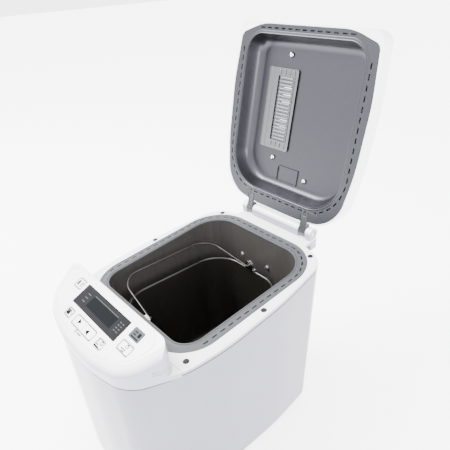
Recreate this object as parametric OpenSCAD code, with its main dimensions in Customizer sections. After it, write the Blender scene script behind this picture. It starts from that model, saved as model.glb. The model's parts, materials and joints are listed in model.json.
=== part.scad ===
// Bread machine for the worktop: a tapered plastic body with a steel baking chamber, a lift-out
// pan with a kneading paddle and a bail handle, a belt drive, a sloping key panel at the front and
// a deep lid hinged at the back, drawn standing open on its stop. Millimetres, +X to the machine's
// right, -Y to its front, +Z up. The origin is on the worktop, under the middle of the space that
// the machine takes up with its lid open.

/* [Baking chamber] */
// Width of the chamber mouth
chamber_w = 184; // [170:1:225]
// Length of the chamber mouth, front to back
chamber_l = 202; // [190:1:245]
// Height of the deck above the worktop at the chamber's middle
deck_h = 226; // [200:1:275]
// Slope of the deck down to the front, in degrees
deck_tilt = 6.6; // [0:0.1:9]
// Height of the chamber floor above the worktop
floor_h = 40; // [38:1:60]
// Corner radius of the chamber at the front
front_r = 25; // [15:1:35]
// Corner radius of the chamber at the back
rear_r = 41; // [25:1:50]
// Thickness of the chamber's steel sheet
sheet_t = 1; // [0.6:0.1:1.5]

/* [Body] */
// Width of the grey ring around the mouth
ring_w = 15; // [12:0.5:20]
// Width of the white deck outside the ring
deck_side = 13; // [8:0.5:20]
// Distance from the chamber mouth to the front of the body
front_bay = 85; // [80:1:110]
// Distance from the chamber mouth to the back of the deck
rear_deck = 30; // [26:1:45]
// How far the body walls lean in for each millimetre down
wall_draft = 0.055; // [0.02:0.005:0.06]
// Thickness of the body shell
shell_wall = 2.5; // [2:0.1:4]
// Thickness of the deck moulding
deck_t = 6; // [5:0.5:9]
// Height of the rubber feet
foot_h = 8; // [6:0.5:15]
// Width across each rubber foot
foot_d = 18; // [12:1:24]

/* [Key panel] */
// Height of the panel's back edge above the deck
panel_rise = 38; // [32:1:44]
// Slope of the panel down to the front, in degrees
panel_slope = 18; // [14:0.5:20]
// Width of the display window
window_w = 97; // [80:1:104]
// Depth of the display window, down the slope
window_d = 27; // [22:1:29]
// How far a key travels
key_travel = 0.8; // [0.4:0.1:1]

/* [Lid] */
// How far the lid opens from shut, in degrees
lid_angle = 108.7; // [95:0.1:112]
// Thickness of the lid over its rim
lid_h = 38; // [34:1:46]
// Depth of the dished steel liner
dish_depth = 22; // [15:1:24]
// Distance of the hinge axis behind the deck's back edge
hinge_back = 9; // [8:0.5:14]
// Height of the hinge axis above the deck
hinge_rise = 8; // [7.5:0.5:12]
// Width of each lid hinge arm
arm_w = 12; // [9:0.5:16]
// Diameter of the hinge pins
hinge_pin_d = 6; // [4:0.5:7]

/* [Bread pan] */
// Space between the pan's side wall and the chamber at each side
pan_side_gap = 26.5; // [22:0.5:34]
// Space between the pan's end wall and the chamber at each end
pan_end_gap = 15.5; // [14:0.5:24]
// How far the pan stands forward of the chamber's middle
pan_forward = 5; // [0:0.5:5]
// Depth of the pan's rim below the deck
pan_drop = 37; // [34:1:50]
// Thickness of the pan's wall
pan_wall = 2; // [1.5:0.1:3]
// Width of the rolled rim
rim_w = 6; // [4:0.5:7]
// Height of the cast ring under the pan
pan_ring_h = 13; // [11:0.5:18]
// Diameter of the handle wire
wire_d = 2.8; // [2.4:0.1:3.6]
// Reach of the bail handle from its pivots
bail_reach = 81; // [78:1:88]

/* [Drive] */
// Diameter of the drive shaft
drive_shaft_d = 10; // [8:0.5:12]
// Diameter of the paddle shaft
pan_shaft_d = 8; // [7:0.5:10]
// Diameter of the large pulley
big_pulley_d = 84; // [70:1:96]
// Diameter of the motor pulley
small_pulley_d = 14; // [12:0.5:18]
// Width of the drive belt
belt_w = 8; // [6:0.5:9]
// Thickness of the drive belt
belt_t = 1.5; // [1:0.1:2]
// Diameter of the motor
motor_d = 58; // [46:1:60]
// Height of the motor
motor_h = 66; // [50:1:72]

/* [Hidden] */

$fn = 48;
arc_step = 7.5;         // largest turn between two points of a rounded corner, in degrees
bend_step = 15;         // the same, for the bends of a wire or a tube
running = 0.05;         // radial clearance of a turning fit
fit_gap = 0.4;          // gap between neighbouring mouldings
eps = 0.01;             // overlap that makes a cut clean
skin = 0.6;             // thickness of the slices that a tapered shape is stretched between

// ---- outlines: lists of corners [x, y, radius], anticlockwise ----
function xy(p) = [p[0], p[1]];
function unit(v) = v / norm(v);
function left_of(v) = [-v[1], v[0]];
function turned(v, a) = [v[0] * cos(a) - v[1] * sin(a), v[0] * sin(a) + v[1] * cos(a)];
function nth(p, i) = p[(i + len(p)) % len(p)];
function mirrored(h) = concat(h, [for (i = [len(h) - 1 : -1 : 0]) [-h[i][0], h[i][1], h[i][2]]]);

// The same outline with each edge moved in by d
function inset(p, d) = [for (i = [0 : len(p) - 1]) let (
    n1 = left_of(unit(xy(p[i]) - xy(nth(p, i - 1)))),
    n2 = left_of(unit(xy(nth(p, i + 1)) - xy(p[i]))))
    concat(xy(p[i]) + d * (n1 + n2) / (1 + n1 * n2), [max(p[i][2] - d, min(p[i][2], 6))])];

// Points of the arc that rounds the corner at b, on the way from a to c
function arc_points(a, b, c, r, step = arc_step) = let (
    u1 = unit(b - a),
    u2 = unit(c - b),
    hand = u1[0] * u2[1] < u1[1] * u2[0] ? -1 : 1,
    turn = acos(u1 * u2),
    start = b - u1 * r * tan(turn / 2),
    centre = start + hand * r * left_of(u1),
    n = max(2, ceil(turn / step)))
    [for (k = [0 : n]) centre + turned(start - centre, hand * turn * k / n)];

function outline(p) = [for (i = [0 : len(p) - 1])
    each arc_points(xy(nth(p, i - 1)), xy(p[i]), xy(nth(p, i + 1)), p[i][2])];

// Length of the closed path, and the point and heading a distance s along it
function path_length(q) = let (d = [for (i = [0 : len(q) - 1]) norm(nth(q, i + 1) - q[i])])
    d * [for (i = d) 1];
function along(q, s, i = 0) = let (v = nth(q, i + 1) - nth(q, i))
    s <= norm(v) || i >= len(q) ? [nth(q, i) + unit(v) * s, atan2(v[1], v[0])]
    : along(q, s - norm(v), i + 1);

// ---- derived sizes ----
half_w = chamber_w / 2 + ring_w + deck_side;
front_y = -chamber_l / 2 - front_bay;          // measured from the chamber's middle
rear_y = chamber_l / 2 + rear_deck;
cos_tilt = cos(deck_tilt);
shell_top = -deck_t - 0.2;
base_h = foot_h + 0.5;                         // underside of the shell
base_inset = wall_draft * (deck_h - base_h);
plate_t = 2;

// Deck and body, as seen square to the deck
body_half = [[half_w - 88, front_y, 140], [half_w - 32, front_y + 12.5, 45],
    [half_w - 6, front_y + 69, 120], [half_w + 0.5, front_y + 124, 220],
    [half_w - 2, rear_y - 103, 300], [half_w - 15, rear_y - 17.5, 32],
    [half_w - 88, rear_y, 220]];
body_outline = mirrored(body_half);
mouth_outline = mirrored([[chamber_w / 2, -chamber_l / 2, front_r],
    [chamber_w / 2, chamber_l / 2, rear_r]]);
ring_outline = mirrored([[chamber_w / 2 + ring_w, -chamber_l / 2 - ring_w - 2, front_r + 24],
    [chamber_w / 2 + ring_w - 2, chamber_l / 2 + ring_w, rear_r + 14]]);
// Chamber walls stand upright, so their plan is the mouth's shadow on the floor
chamber_plan = mirrored([[chamber_w / 2, -chamber_l / 2 * cos_tilt, front_r],
    [chamber_w / 2, chamber_l / 2 * cos_tilt, rear_r]]);

panel_y = -chamber_l / 2 - 19;                 // back edge of the panel
panel_side = 12;                               // depth of the panel's upright front wall
function panel_half(extra) = [[half_w - 88, front_y, 140], [half_w - 32, front_y + 12.5, 45],
    [half_w - 6, panel_y + extra, 3]];

lid_gap = 1.3;                                 // between the lid's front and the panel
lid_front = panel_y + lid_gap;
lid_rear = rear_y - 2.5;
lid_base = 1.2;                                // rim height over the deck when shut
lid_top = lid_base + lid_h;
lid_outline = mirrored([[half_w - 6, lid_front, 14], [half_w - 1, lid_front + 80, 260],
    [half_w - 4, rear_y - 86, 200], [half_w - 17, lid_rear - 8, 46], [40, lid_rear, 150]]);
liner_outline = mirrored([[72, lid_front + 3, 80], [half_w - 9.5, lid_front + 17, 10],
    [half_w - 4.5, lid_front + 80, 200], [half_w - 7.5, rear_y - 86, 200],
    [half_w - 20.5, lid_rear - 11.5, 48], [40, lid_rear - 3.5, 150]]);
dish_outline = mirrored([[chamber_w / 2 + 6.5, -chamber_l / 2 - 4, front_r + 2],
    [chamber_w / 2 + 6.5, chamber_l / 2 + 5, rear_r + 10]]);
hinge_y = rear_y + hinge_back;
grip_l = 30;
grip_h = 5;

// Where a point [y, z] of the shut lid comes to when the lid is open, and how far back a point of
// the deck's plane lies once the deck is tilted
function opened(p) = [hinge_y, hinge_rise] + turned(p - [hinge_y, hinge_rise], -lid_angle);
function tilted_y(p) = turned(p, deck_tilt)[0];
front_end = tilted_y([front_y, panel_rise - panel_side + skin + tan(panel_slope) * (front_y - panel_y)]);
rear_end = tilted_y(opened([lid_front + 4, lid_top + grip_h - 2]));
chamber_y = -(front_end + rear_end) / 2;       // chamber's middle, in front of the origin
knuckle_r = hinge_pin_d / 2 + 5;
arm_x = 51;                                    // middle of each hinge arm
arm_r = hinge_pin_d / 2 + 4;
knuckle_w = 9;

pan_y = chamber_y - pan_forward;
pan_z = floor_h + pan_ring_h + 0.5;            // outside of the pan's floor
pan_rim = deck_h - pan_drop;
pan_mouth = mirrored([[chamber_w / 2 - pan_side_gap, -chamber_l / 2 + pan_end_gap, 24],
    [chamber_w / 2 - pan_side_gap, chamber_l / 2 - pan_end_gap, 24]]);
pan_draft = 3;
ear_y = chamber_l / 2 - pan_end_gap + 1;       // middle of each ear, from the pan's middle
ear_t = 3;
pivot_z = pan_rim + 7;
bail_rise = 10.9;                              // the folded bail's angle above level
wire_r = wire_d / 2;

shaft_r = drive_shaft_d / 2;
pan_shaft_r = pan_shaft_d / 2;
plate_z = floor_h - 9;                         // underside of the chassis plate
pulley_z = foot_h + 8;
pulley_h = belt_w + 3;
motor_y = pan_y - 129;
motor_z = plate_z + plate_t;

// ---- places ----
// Children are drawn in the deck's own plane, with the chamber's middle as its origin
module on_deck() {
    translate([0, chamber_y, deck_h]) rotate([deck_tilt, 0, 0]) children();
}

// Children are drawn on the panel's face: x across, -y down the slope, z out of the face
module on_panel() {
    on_deck() translate([0, panel_y, panel_rise]) rotate([panel_slope, 0, 0]) children();
}

// Children are drawn on the deck as if the lid were shut, then swung open about the hinge
module lid_open() {
    on_deck() translate([0, hinge_y, hinge_rise]) rotate([-lid_angle, 0, 0])
        translate([0, -hinge_y, -hinge_rise]) children();
}

module slab(p, z, t) {
    translate([0, 0, z]) linear_extrude(t) polygon(outline(p));
}

module ring(outer, inner, z, t) {
    difference() {
        slab(outer, z, t);
        slab(inner, z - 1, t + 2);
    }
}

module both_sides() {
    children();
    mirror([1, 0, 0]) children();
}

module tube(r_out, r_in, h) {
    difference() {
        cylinder(r = r_out, h = h);
        translate([0, 0, -1]) cylinder(r = r_in, h = h + 2);
    }
}

// Straight rod between two points
module rod(a, b, r) {
    v = b - a;
    translate(a) rotate([0, acos(v[2] / norm(v)), atan2(v[1], v[0])]) cylinder(r = r, h = norm(v));
}

// Half of a path and its mirror image as one path
function there_and_back(half) =
    concat(half, [for (k = [len(half) - 1 : -1 : 0]) [half[k][0], -half[k][1]]]);

wire_sides = 12;

// Round wire that lies flat along a path [x, y]: a ring of corners at each point, square to the
// path, joined by bands and closed at both ends
module wire(path, r) {
    last = len(path) - 1;
    corners = [for (i = [0 : last]) let (
        before = unit(path[max(i, 1)] - path[max(i, 1) - 1]),
        after = unit(path[min(i, last - 1) + 1] - path[min(i, last - 1)]),
        side = left_of(unit(before + after)) / sqrt((1 + before * after) / 2))
        for (k = [0 : wire_sides - 1]) let (a = 360 * k / wire_sides)
            concat(path[i] + r * cos(a) * side, [r * sin(a)])];
    bands = [for (i = [0 : last - 1]) for (k = [0 : wire_sides - 1]) let (
        m = i * wire_sides,
        n = (k + 1) % wire_sides)
        [m + k, m + wire_sides + k, m + wire_sides + n, m + n]];
    first_end = [for (k = [0 : wire_sides - 1]) k];
    last_end = [for (k = [wire_sides - 1 : -1 : 0]) last * wire_sides + k];
    polyhedron(corners, concat(bands, [first_end, last_end]));
}

// Short slots in a row round an outline: on its sides from y_min back, where they are past x_min,
// and on its ends as far as x_end
module slot_row(p, pitch, len, width, z, t, y_min, x_min, x_end) {
    q = outline(p);
    n = floor(path_length(q) / pitch);
    for (k = [0 : n - 1]) {
        at = along(q, (k + 0.5) * path_length(q) / n);
        if (abs(at[0][0]) < x_end || at[0][1] > y_min && abs(at[0][0]) > x_min)
            translate([at[0][0], at[0][1], z]) rotate(at[1])
                translate([-len / 2, -width / 2, 0]) cube([len, width, t]);
    }
}

// ---- body ----
module body_form(d) {
    past = d > 0 ? 1 : 0;                      // the hollow runs out at the top and the bottom
    hull() {
        on_deck() slab(inset(body_outline, 0.8 + d), shell_top - skin + past, skin);
        translate([0, chamber_y, base_h - past]) slab(inset(body_outline, base_inset + d), 0, skin);
    }
}

vent_count = 14;
// The cord gland stands square to the slanting part of the back wall
gland_z = base_h + 22;
gland_r = 7;
gland_edge = [xy(body_half[5]), xy(body_half[6])];
gland_out = -left_of(unit(gland_edge[1] - gland_edge[0]));
gland_at = gland_edge[0] * 0.52 + gland_edge[1] * 0.48 + [0, chamber_y]
    - gland_out * (base_inset - wall_draft * (gland_z - base_h));

module at_gland() {
    translate([gland_at[0], gland_at[1], gland_z])
        rotate([0, 0, -atan(gland_out[0] / gland_out[1])]) rotate([-90, 0, 0]) children();
}

module body_shell() {
    color("white") difference() {
        body_form(0);
        body_form(shell_wall);
        for (k = [0 : vent_count - 1])
            translate([(k - (vent_count - 1) / 2) * 7 - 18, chamber_y + rear_y - 40, base_h + 40])
                cube([3, 60, 26]);
        at_gland() translate([0, 0, -20]) cylinder(r = gland_r + 0.3, h = 40);
    }
}

base_plan = inset(body_outline, base_inset + shell_wall + 1);
foot_x = half_w - base_inset - 36;
foot_front = chamber_y + front_y + base_inset + 36;
foot_rear = chamber_y + rear_y - base_inset - 30;
screw_r = 1.8;

module at_feet() {
    both_sides() {
        translate([foot_x, foot_front, 0]) children();
        translate([foot_x, foot_rear, 0]) children();
    }
}

module base_plate() {
    color("gainsboro") difference() {
        translate([0, chamber_y, 0]) slab(base_plan, base_h + 0.5, plate_t);
        at_feet() translate([0, 0, base_h - 1]) cylinder(r = 3.2, h = 5);
        for (k = [-5 : 5]) for (y = [pan_y - 60, pan_y + 60])
            translate([k * 9 - 2, y - 16, base_h - 1]) cube([4, 32, 5]);
        both_sides() for (y = [foot_front + 30, chamber_y, foot_rear - 30])
            translate([foot_x + 17, y, base_h - 1]) cylinder(r = screw_r + 0.2, h = 5);
    }
}

module rubber_feet() {
    color("dimgray") at_feet() {
        rotate_extrude() polygon([[0, 0], [foot_d / 2 - 1.5, 0], [foot_d / 2, 1.5],
            [foot_d / 2 - 1, base_h + 0.3], [3, base_h + 0.3], [3, base_h + 4], [0, base_h + 4]]);
    }
}

module base_screws() {
    color("silver") both_sides() for (y = [foot_front + 30, chamber_y, foot_rear - 30])
        translate([foot_x + 17, y, base_h - 1.2]) difference() {
            union() {
                cylinder(r = 3.2, h = 1.6);
                cylinder(r = screw_r, h = 5.5);
            }
            for (a = [0, 90]) rotate(a) translate([-2, -0.4, -1]) cube([4, 0.8, 1.8]);
        }
}

plug_r = 3.6;
plug_places = [[half_w - 8.4, -1], [half_w - 16, panel_y + 12], [half_w - 33.2, rear_y - 22.5]];

module deck_cover() {
    color("white") difference() {
        on_deck() difference() {
            union() {
                hull() {
                    slab(body_outline, -deck_t, deck_t - 3.5);
                    slab(inset(body_outline, 1), -1.9, skin);
                    slab(inset(body_outline, 3.5), -skin, skin);
                }
                hinge_base();
            }
            slab(inset(mouth_outline, -5), -deck_t - 1, deck_t + 2);
            slab(inset(ring_outline, -fit_gap), -2, 4);
            translate([-half_w - 20, front_y - 20, -deck_t - 1])
                cube([2 * half_w + 40, panel_y - front_y + 20 + fit_gap, deck_t + 10]);
            for (p = plug_places) both_sides() translate([p[0], p[1], -4])
                cylinder(r = plug_r + 0.1, h = 8);
            translate([-half_w, hinge_y, hinge_rise]) rotate([0, 90, 0])
                cylinder(d = hinge_pin_d, h = 2 * half_w);
        }
    }
}

centre_knuckle = arm_x - arm_w / 2 - fit_gap;
outer_knuckle = arm_x + arm_w / 2 + fit_gap;

// Back edge of the deck: a shelf with one long knuckle and a short one at each end
module hinge_base() {
    shelf_top = hinge_rise - arm_r - 0.8;
    shelf_w = outer_knuckle + knuckle_w + 1;
    translate([-shelf_w, rear_y - 16, -deck_t])
        cube([2 * shelf_w, hinge_back + 16 + 6, shelf_top + deck_t]);
    hull() {
        translate([-shelf_w, rear_y + 1, -deck_t - skin]) cube([2 * shelf_w, hinge_back + 5, skin]);
        translate([-shelf_w, rear_y + 1, -deck_t - 12]) cube([2 * shelf_w, 2, skin]);
    }
    knuckle(-centre_knuckle, 2 * centre_knuckle);
    both_sides() knuckle(outer_knuckle, knuckle_w);
}

module knuckle(x, w) {
    translate([x, hinge_y, hinge_rise]) rotate([0, 90, 0]) cylinder(r = knuckle_r, h = w);
    translate([x, hinge_y - knuckle_r, -1]) cube([w, 2 * knuckle_r - 3, hinge_rise + 1]);
}

module hinge_pins() {
    color("silver") on_deck() both_sides()
        translate([centre_knuckle - 12, hinge_y, hinge_rise]) rotate([0, 90, 0])
            cylinder(d = hinge_pin_d, h = 12 + arm_w + 2 * fit_gap + knuckle_w - 1);
}

module deck_plugs() {
    color("dimgray") on_deck() for (p = plug_places) both_sides()
        translate([p[0], p[1], -4]) cylinder(r = plug_r, h = 4.4);
}

// ---- baking chamber ----
bead_h = 0.9;                                  // top of the ring's two beads, under the shut lid

module chamber_flange() {
    color("darkgray") on_deck() difference() {
        union() {
            ring(ring_outline, inset(mouth_outline, 0.6), -1.8, 2);
            ring(inset(mouth_outline, -3.5), inset(mouth_outline, 0.6), 0, bead_h);
            ring(ring_outline, inset(ring_outline, 2), 0, bead_h);
        }
        slot_row(inset(mouth_outline, -ring_w / 2), 12.2, 7, 1.8, -3, 8, -chamber_l / 2 + 14,
            chamber_w / 2 - 8, 0);
    }
}

module upright_to_deck(p, z) {
    intersection() {
        translate([0, chamber_y, z]) slab(p, 0, 2 * deck_h);
        on_deck() translate([-200, -300, -400]) cube([400, 600, 400 - 1.8]);
    }
}

module oven_chamber() {
    color("dimgray") difference() {
        upright_to_deck(inset(chamber_plan, -sheet_t), floor_h - sheet_t);
        translate([0, chamber_y, floor_h]) slab(chamber_plan, 0, 2 * deck_h);
        translate([0, pan_y, floor_h - 3]) cylinder(r = 14, h = 6);
        both_sides() translate([end_x, chamber_y + heater_y, heater_z]) rotate([-90, 0, 0])
            cylinder(r = heater_r + 0.5, h = 12);
        translate(sensor_at) rotate([0, 90, 0]) translate([0, 0, -6]) cylinder(r = 3.2, h = 9);
    }
}

module wall_rivets() {
    color("silver") translate([0, chamber_y + chamber_l / 2 * cos_tilt, deck_h - 36])
        for (x = [-36, 16]) translate([x, 0.5, 0]) rotate([90, 0, 0]) {
            cylinder(r = 2.6, h = 2.2);
            cylinder(r = 4, h = 1.2);
        }
}

heater_r = 3.2;
heater_z = floor_h + 25;
heater_x = chamber_w / 2 - 10;
heater_y = chamber_l / 2 * cos_tilt - 7;
heater_bend = 30;
end_x = 20;
end_bend = 8;
end_len = 20;

// Half of the tube's path, seen from above and turned a quarter, so that its ends point to -x
heater_half = concat([[-heater_y - end_len, end_x]],
    arc_points([-heater_y - end_len, end_x], [-heater_y, end_x], [-heater_y, heater_x], end_bend, bend_step),
    arc_points([-heater_y, end_x], [-heater_y, heater_x], [heater_y, heater_x], heater_bend, bend_step),
    arc_points([-heater_y, heater_x], [heater_y, heater_x], [heater_y, 0], heater_bend, bend_step));

module heater_element() {
    color("darkgray") translate([0, chamber_y, heater_z]) rotate(-90)
        wire(there_and_back(heater_half), heater_r);
}

module heater_clips() {
    color("silver") translate([0, chamber_y, heater_z]) both_sides() for (y = [-45, 45])
        translate([heater_x, y, 0]) {
            difference() {
                translate([-heater_r - 1.5, -5, -heater_r - 1.5])
                    cube([chamber_w / 2 - heater_x + heater_r + 1.5 - 0.1, 10, 2 * heater_r + 3]);
                translate([0, -6, 0]) rotate([-90, 0, 0]) cylinder(r = heater_r, h = 12);
                translate([-heater_r - 2, -6, -1]) cube([heater_r + 2, 12, 2]);
            }
        }
}

sensor_at = [-chamber_w / 2, chamber_y - 12, deck_h - 76];

module temperature_sensor() {
    color("silver") translate(sensor_at) rotate([0, 90, 0]) {
        translate([0, 0, -8]) cylinder(r = 3, h = 20);
        translate([0, 0, 0.3]) cylinder(r = 5.5, h = 1.6);
        translate([0, 0, -8]) cylinder(r = 5, h = 5);
    }
}

module heat_shield() {
    color("silver") translate([0, chamber_y - chamber_l / 2 * cos_tilt - 2.6, 0]) {
        translate([-chamber_w / 2 + 8, -0.8, motor_z + 4])
            cube([chamber_w - 16, 0.8, deck_h - motor_z - 34]);
        translate([-chamber_w / 2 + 8, -10, motor_z + 4]) cube([8, 10, 0.8]);
        translate([chamber_w / 2 - 16, -10, motor_z + 4]) cube([8, 10, 0.8]);
    }
}

socket_r = 45;

module pan_socket() {
    color("silver") translate([0, pan_y, floor_h + 0.1]) difference() {
        union() {
            tube(socket_r + 6, socket_r, 9);
            tube(socket_r + 12, socket_r, 2);
        }
        for (a = [0, 180]) rotate(a) translate([socket_r - 3, -9, 3]) cube([12, 18, 8]);
        for (a = [45 : 90 : 315]) rotate(a) translate([socket_r + 9, 0, -1]) cylinder(r = 1.7, h = 4);
    }
}

// ---- drive ----
plate_hole_r = small_pulley_d / 2 + 4;

module chassis_plate() {
    color("lightgray") difference() {
        union() {
            translate([-48, motor_y - motor_d / 2 - 1, plate_z])
                cube([96, pan_y - motor_y + motor_d / 2 + 51, plate_t]);
            translate([0, pan_y, plate_z]) cylinder(r = 15, h = floor_h - plate_z - sheet_t - 0.2);
            both_sides() translate([44, pan_y - 40, plate_z])
                cube([4, 80, floor_h - plate_z - sheet_t - 0.2]);
        }
        translate([0, pan_y, plate_z - 1]) cylinder(r = bearing_r, h = 20);
        translate([0, motor_y, plate_z - 1]) cylinder(r = plate_hole_r, h = 5);
        both_sides() for (y = post_ys) translate([post_x, y, plate_z - 1]) cylinder(r = 2.1, h = 5);
        for (a = motor_bolts) translate([0, motor_y, plate_z - 1]) rotate(a)
            translate([motor_d / 2 - 6, 0, 0]) cylinder(r = 1.7, h = 5);
    }
}

post_x = 43.5;
post_ys = [motor_y + 4, pan_y + 44];
motor_bolts = [45, 135, 225, 315];

module chassis_posts() {
    color("darkgray") both_sides() for (y = post_ys) translate([post_x, y, base_h + 0.5 + plate_t]) {
        cylinder(r = 4, h = plate_z - base_h - 0.5 - plate_t);
        cylinder(r = 2, h = plate_z - base_h + 2);
    }
}

bearing_r = shaft_r + 4;

module drive_bearing() {
    color("goldenrod") translate([0, pan_y, 0]) {
        translate([0, 0, plate_z - 1]) tube(bearing_r, shaft_r + running, floor_h - plate_z + 2);
        translate([0, 0, plate_z - 2.4]) tube(bearing_r + 2, shaft_r + running, 2.2);
    }
}

module drive_shaft() {
    color("silver") translate([0, pan_y, pulley_z - 3]) difference() {
        cylinder(r = shaft_r, h = floor_h + 6 - pulley_z);
        translate([0, 0, 1]) tube(shaft_r + 1, shaft_r - 0.8, 1);
    }
}

dog_r = 17;
dog_h = 5;
dog_w = 6;
hub_top = floor_h + 5;

module drive_coupling() {
    color("dimgray") translate([0, pan_y, floor_h + 1.4]) difference() {
        union() {
            cylinder(r = 10, h = hub_top - floor_h - 1.4 + 0.6);
            for (a = [0, 180]) rotate(a) translate([0, -dog_w / 2, 0])
                cube([dog_r, dog_w, hub_top - floor_h - 1.4 + dog_h]);
        }
        translate([0, 0, -1]) cylinder(r = shaft_r, h = 2.6 + 1);
        translate([0, 0, hub_top - floor_h - 1.4 + 0.6]) cylinder(r = 10.5, h = 20);
    }
}

web_t = 3;

module drive_pulley() {
    color("ivory") translate([0, pan_y, pulley_z]) difference() {
        union() {
            tube(big_pulley_d / 2, big_pulley_d / 2 - 4, pulley_h);
            cylinder(r = big_pulley_d / 2 - 1, h = web_t);
            cylinder(r = shaft_r + 5, h = pulley_h);
            for (z = [0, pulley_h - 1]) translate([0, 0, z])
                tube(big_pulley_d / 2 + 2.5, big_pulley_d / 2 - 1, 1);
        }
        translate([0, 0, -1]) cylinder(r = shaft_r, h = pulley_h + 2);
        for (a = [30 : 60 : 330]) rotate(a) translate([big_pulley_d / 4 + 2, 0, -1])
            cylinder(r = big_pulley_d / 12, h = web_t + 2);
    }
}

module drive_belt() {
    r1 = big_pulley_d / 2 + 0.3;
    r2 = small_pulley_d / 2 + 0.3;
    color("dimgray") translate([0, 0, pulley_z + 1.5]) difference() {
        hull() {
            translate([0, pan_y, 0]) cylinder(r = r1 + belt_t, h = belt_w);
            translate([0, motor_y, 0]) cylinder(r = r2 + belt_t, h = belt_w);
        }
        hull() {
            translate([0, pan_y, -1]) cylinder(r = r1, h = belt_w + 2);
            translate([0, motor_y, -1]) cylinder(r = r2, h = belt_w + 2);
        }
    }
}

motor_shaft_r = 4;
motor_boss_r = 9;

module motor_body() {
    color("silver") translate([0, motor_y, motor_z]) difference() {
        union() {
            cylinder(r = motor_d / 2, h = 3);
            translate([0, 0, 3 - eps]) cylinder(r = motor_d / 2 - 3, h = 12);
            translate([0, 0, 15 - 2 * eps]) cylinder(r = motor_d / 2, h = motor_h - 30);
            translate([0, 0, motor_h - 15 - 3 * eps]) cylinder(r = motor_d / 2 - 3, h = 15);
            translate([0, 0, motor_h - 4 * eps]) cylinder(r = motor_boss_r, h = 4);
        }
        translate([0, 0, -1]) cylinder(r = motor_shaft_r + running, h = motor_h - 10);
        for (a = motor_bolts) rotate(a) translate([motor_d / 2 - 6, 0, -1]) cylinder(r = 1.5, h = 3);
        for (a = [0 : 30 : 330]) rotate(a + 15) translate([motor_d / 2 - 6, -2, 5]) cube([8, 4, 7]);
    }
}

module motor_screws() {
    color("silver") for (a = motor_bolts) translate([0, motor_y, plate_z]) rotate(a)
        translate([motor_d / 2 - 6, 0, -2]) {
            cylinder(r = 2.8, h = 2);
            cylinder(r = 1.5, h = 2 + plate_t + 2);
        }
}

module motor_shaft() {
    color("silver") translate([0, motor_y, pulley_z - 3])
        cylinder(r = motor_shaft_r, h = motor_z + motor_h - 16 - pulley_z);
}

module motor_pulley() {
    color("ivory") translate([0, motor_y, pulley_z]) difference() {
        union() {
            cylinder(r = small_pulley_d / 2, h = pulley_h);
            for (z = [0, pulley_h - 1]) translate([0, 0, z]) cylinder(r = small_pulley_d / 2 + 2.5, h = 1);
        }
        translate([0, 0, -1]) cylinder(r = motor_shaft_r, h = pulley_h + 2);
    }
}

// ---- electrics ----
board_z = motor_z + motor_h + 12;
board_y = chamber_y - chamber_l / 2 * cos_tilt - 16;
board_top = deck_h - 46;

module power_board() {
    color("olivedrab") {
        translate([-62, board_y - 1.6, board_z]) cube([124, 1.6, board_top - board_z]);
        for (x = [-54, 54]) for (z = [board_z + 7, board_top - 7])
            translate([x, board_y, z]) rotate([-90, 0, 0]) cylinder(r = 3, h = 11);
    }
}

module transformer() {
    color("saddlebrown") translate([-30, board_y - 1.7, board_z + 6]) {
        translate([0, -26, 0]) cube([34, 26, 30]);
        translate([42, -18, 2]) cube([20, 18, 24]);
        translate([70, 0, 12]) rotate([90, 0, 0]) cylinder(r = 7, h = 20);
    }
}

wire_x = half_w - base_inset - shell_wall - 7;
bus_z = base_h + 8;

module inner_wiring() {
    route = [[gland_at[0] - 4, gland_at[1] - 18, gland_z], [wire_x - 8, foot_rear - 16, bus_z],
        [wire_x - 2, chamber_y, bus_z], [wire_x - 10, foot_front + 12, bus_z],
        [66, board_y - 12, board_z + 10]];
    color("dimgray") for (i = [0 : len(route) - 2]) {
        rod(route[i], route[i + 1], 2.4);
        translate(route[i + 1]) sphere(r = 2.6);
    }
}

module power_gland() {
    color("dimgray") at_gland() {
        translate([0, 0, -8]) tube(gland_r, 3.5, 13);
        translate([0, 0, 1.2]) tube(gland_r + 3, 3.5, 3.8);
        translate([0, 0, -8]) tube(gland_r + 2, 3.5, 3);
    }
}

label_t = 0.5;

module rear_label() {
    color("gainsboro") difference() {
        translate([-24, chamber_y + rear_y - base_inset, base_h + 100]) cube([48, 12, 30]);
        body_form(-0.05);
        difference() {
            translate([-30, chamber_y, base_h + 90]) cube([60, 200, 50]);
            body_form(-label_t);
        }
    }
}

// ---- key panel ----
// Slice of the panel housing that follows the panel's slope, z above the panel's face. Its front
// and sides are drawn in by d, and its back, which is upright, only by the wall
module sloped_slab(d, z, wall) {
    s = tan(panel_slope);
    multmatrix([[1, 0, 0, 0], [0, 1, 0, 0], [0, s, 1, panel_rise + z - s * panel_y], [0, 0, 0, 1]])
        slab(inset(mirrored(panel_half(d - wall)), d), 0, skin);
}

module panel_form(wall) {
    hull() {
        slab(inset(mirrored(panel_half(0.5)), 0.5 + wall), wall > 0 ? -deck_t - 1 : -deck_t, skin);
        sloped_slab(wall, -panel_side, wall);
        sloped_slab(3 + wall, -4 - wall, wall);
        sloped_slab(9 + wall, -skin - wall, wall);
    }
}

overlay_t = 0.8;
// Keys: name, place down the slope, size. The first two numbers are the middle's x and -y
key_gap = 0.4;
menu_at = [-61.5, 17, 16, 13];
loaf_at = [-36, 48.5, 14, 11];
down_at = [-10.8, 48.5, 20.4, 10.5];
up_at = [10.8, 48.5, 20.4, 10.5];
crust_at = [36.5, 48.5, 14, 11];
start_at = [67, 33.3, 21, 12.5];
program_at = [66, 16.2, 18, 12];
key_places = [menu_at, loaf_at, down_at, up_at, crust_at, start_at, program_at];
window_y = 10.4 + window_d / 2;

module rounded_bar(w, d, r, z, t) {
    slab([[w / 2, -d / 2, r], [w / 2, d / 2, r], [-w / 2, d / 2, r], [-w / 2, -d / 2, r]], z, t);
}

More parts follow.
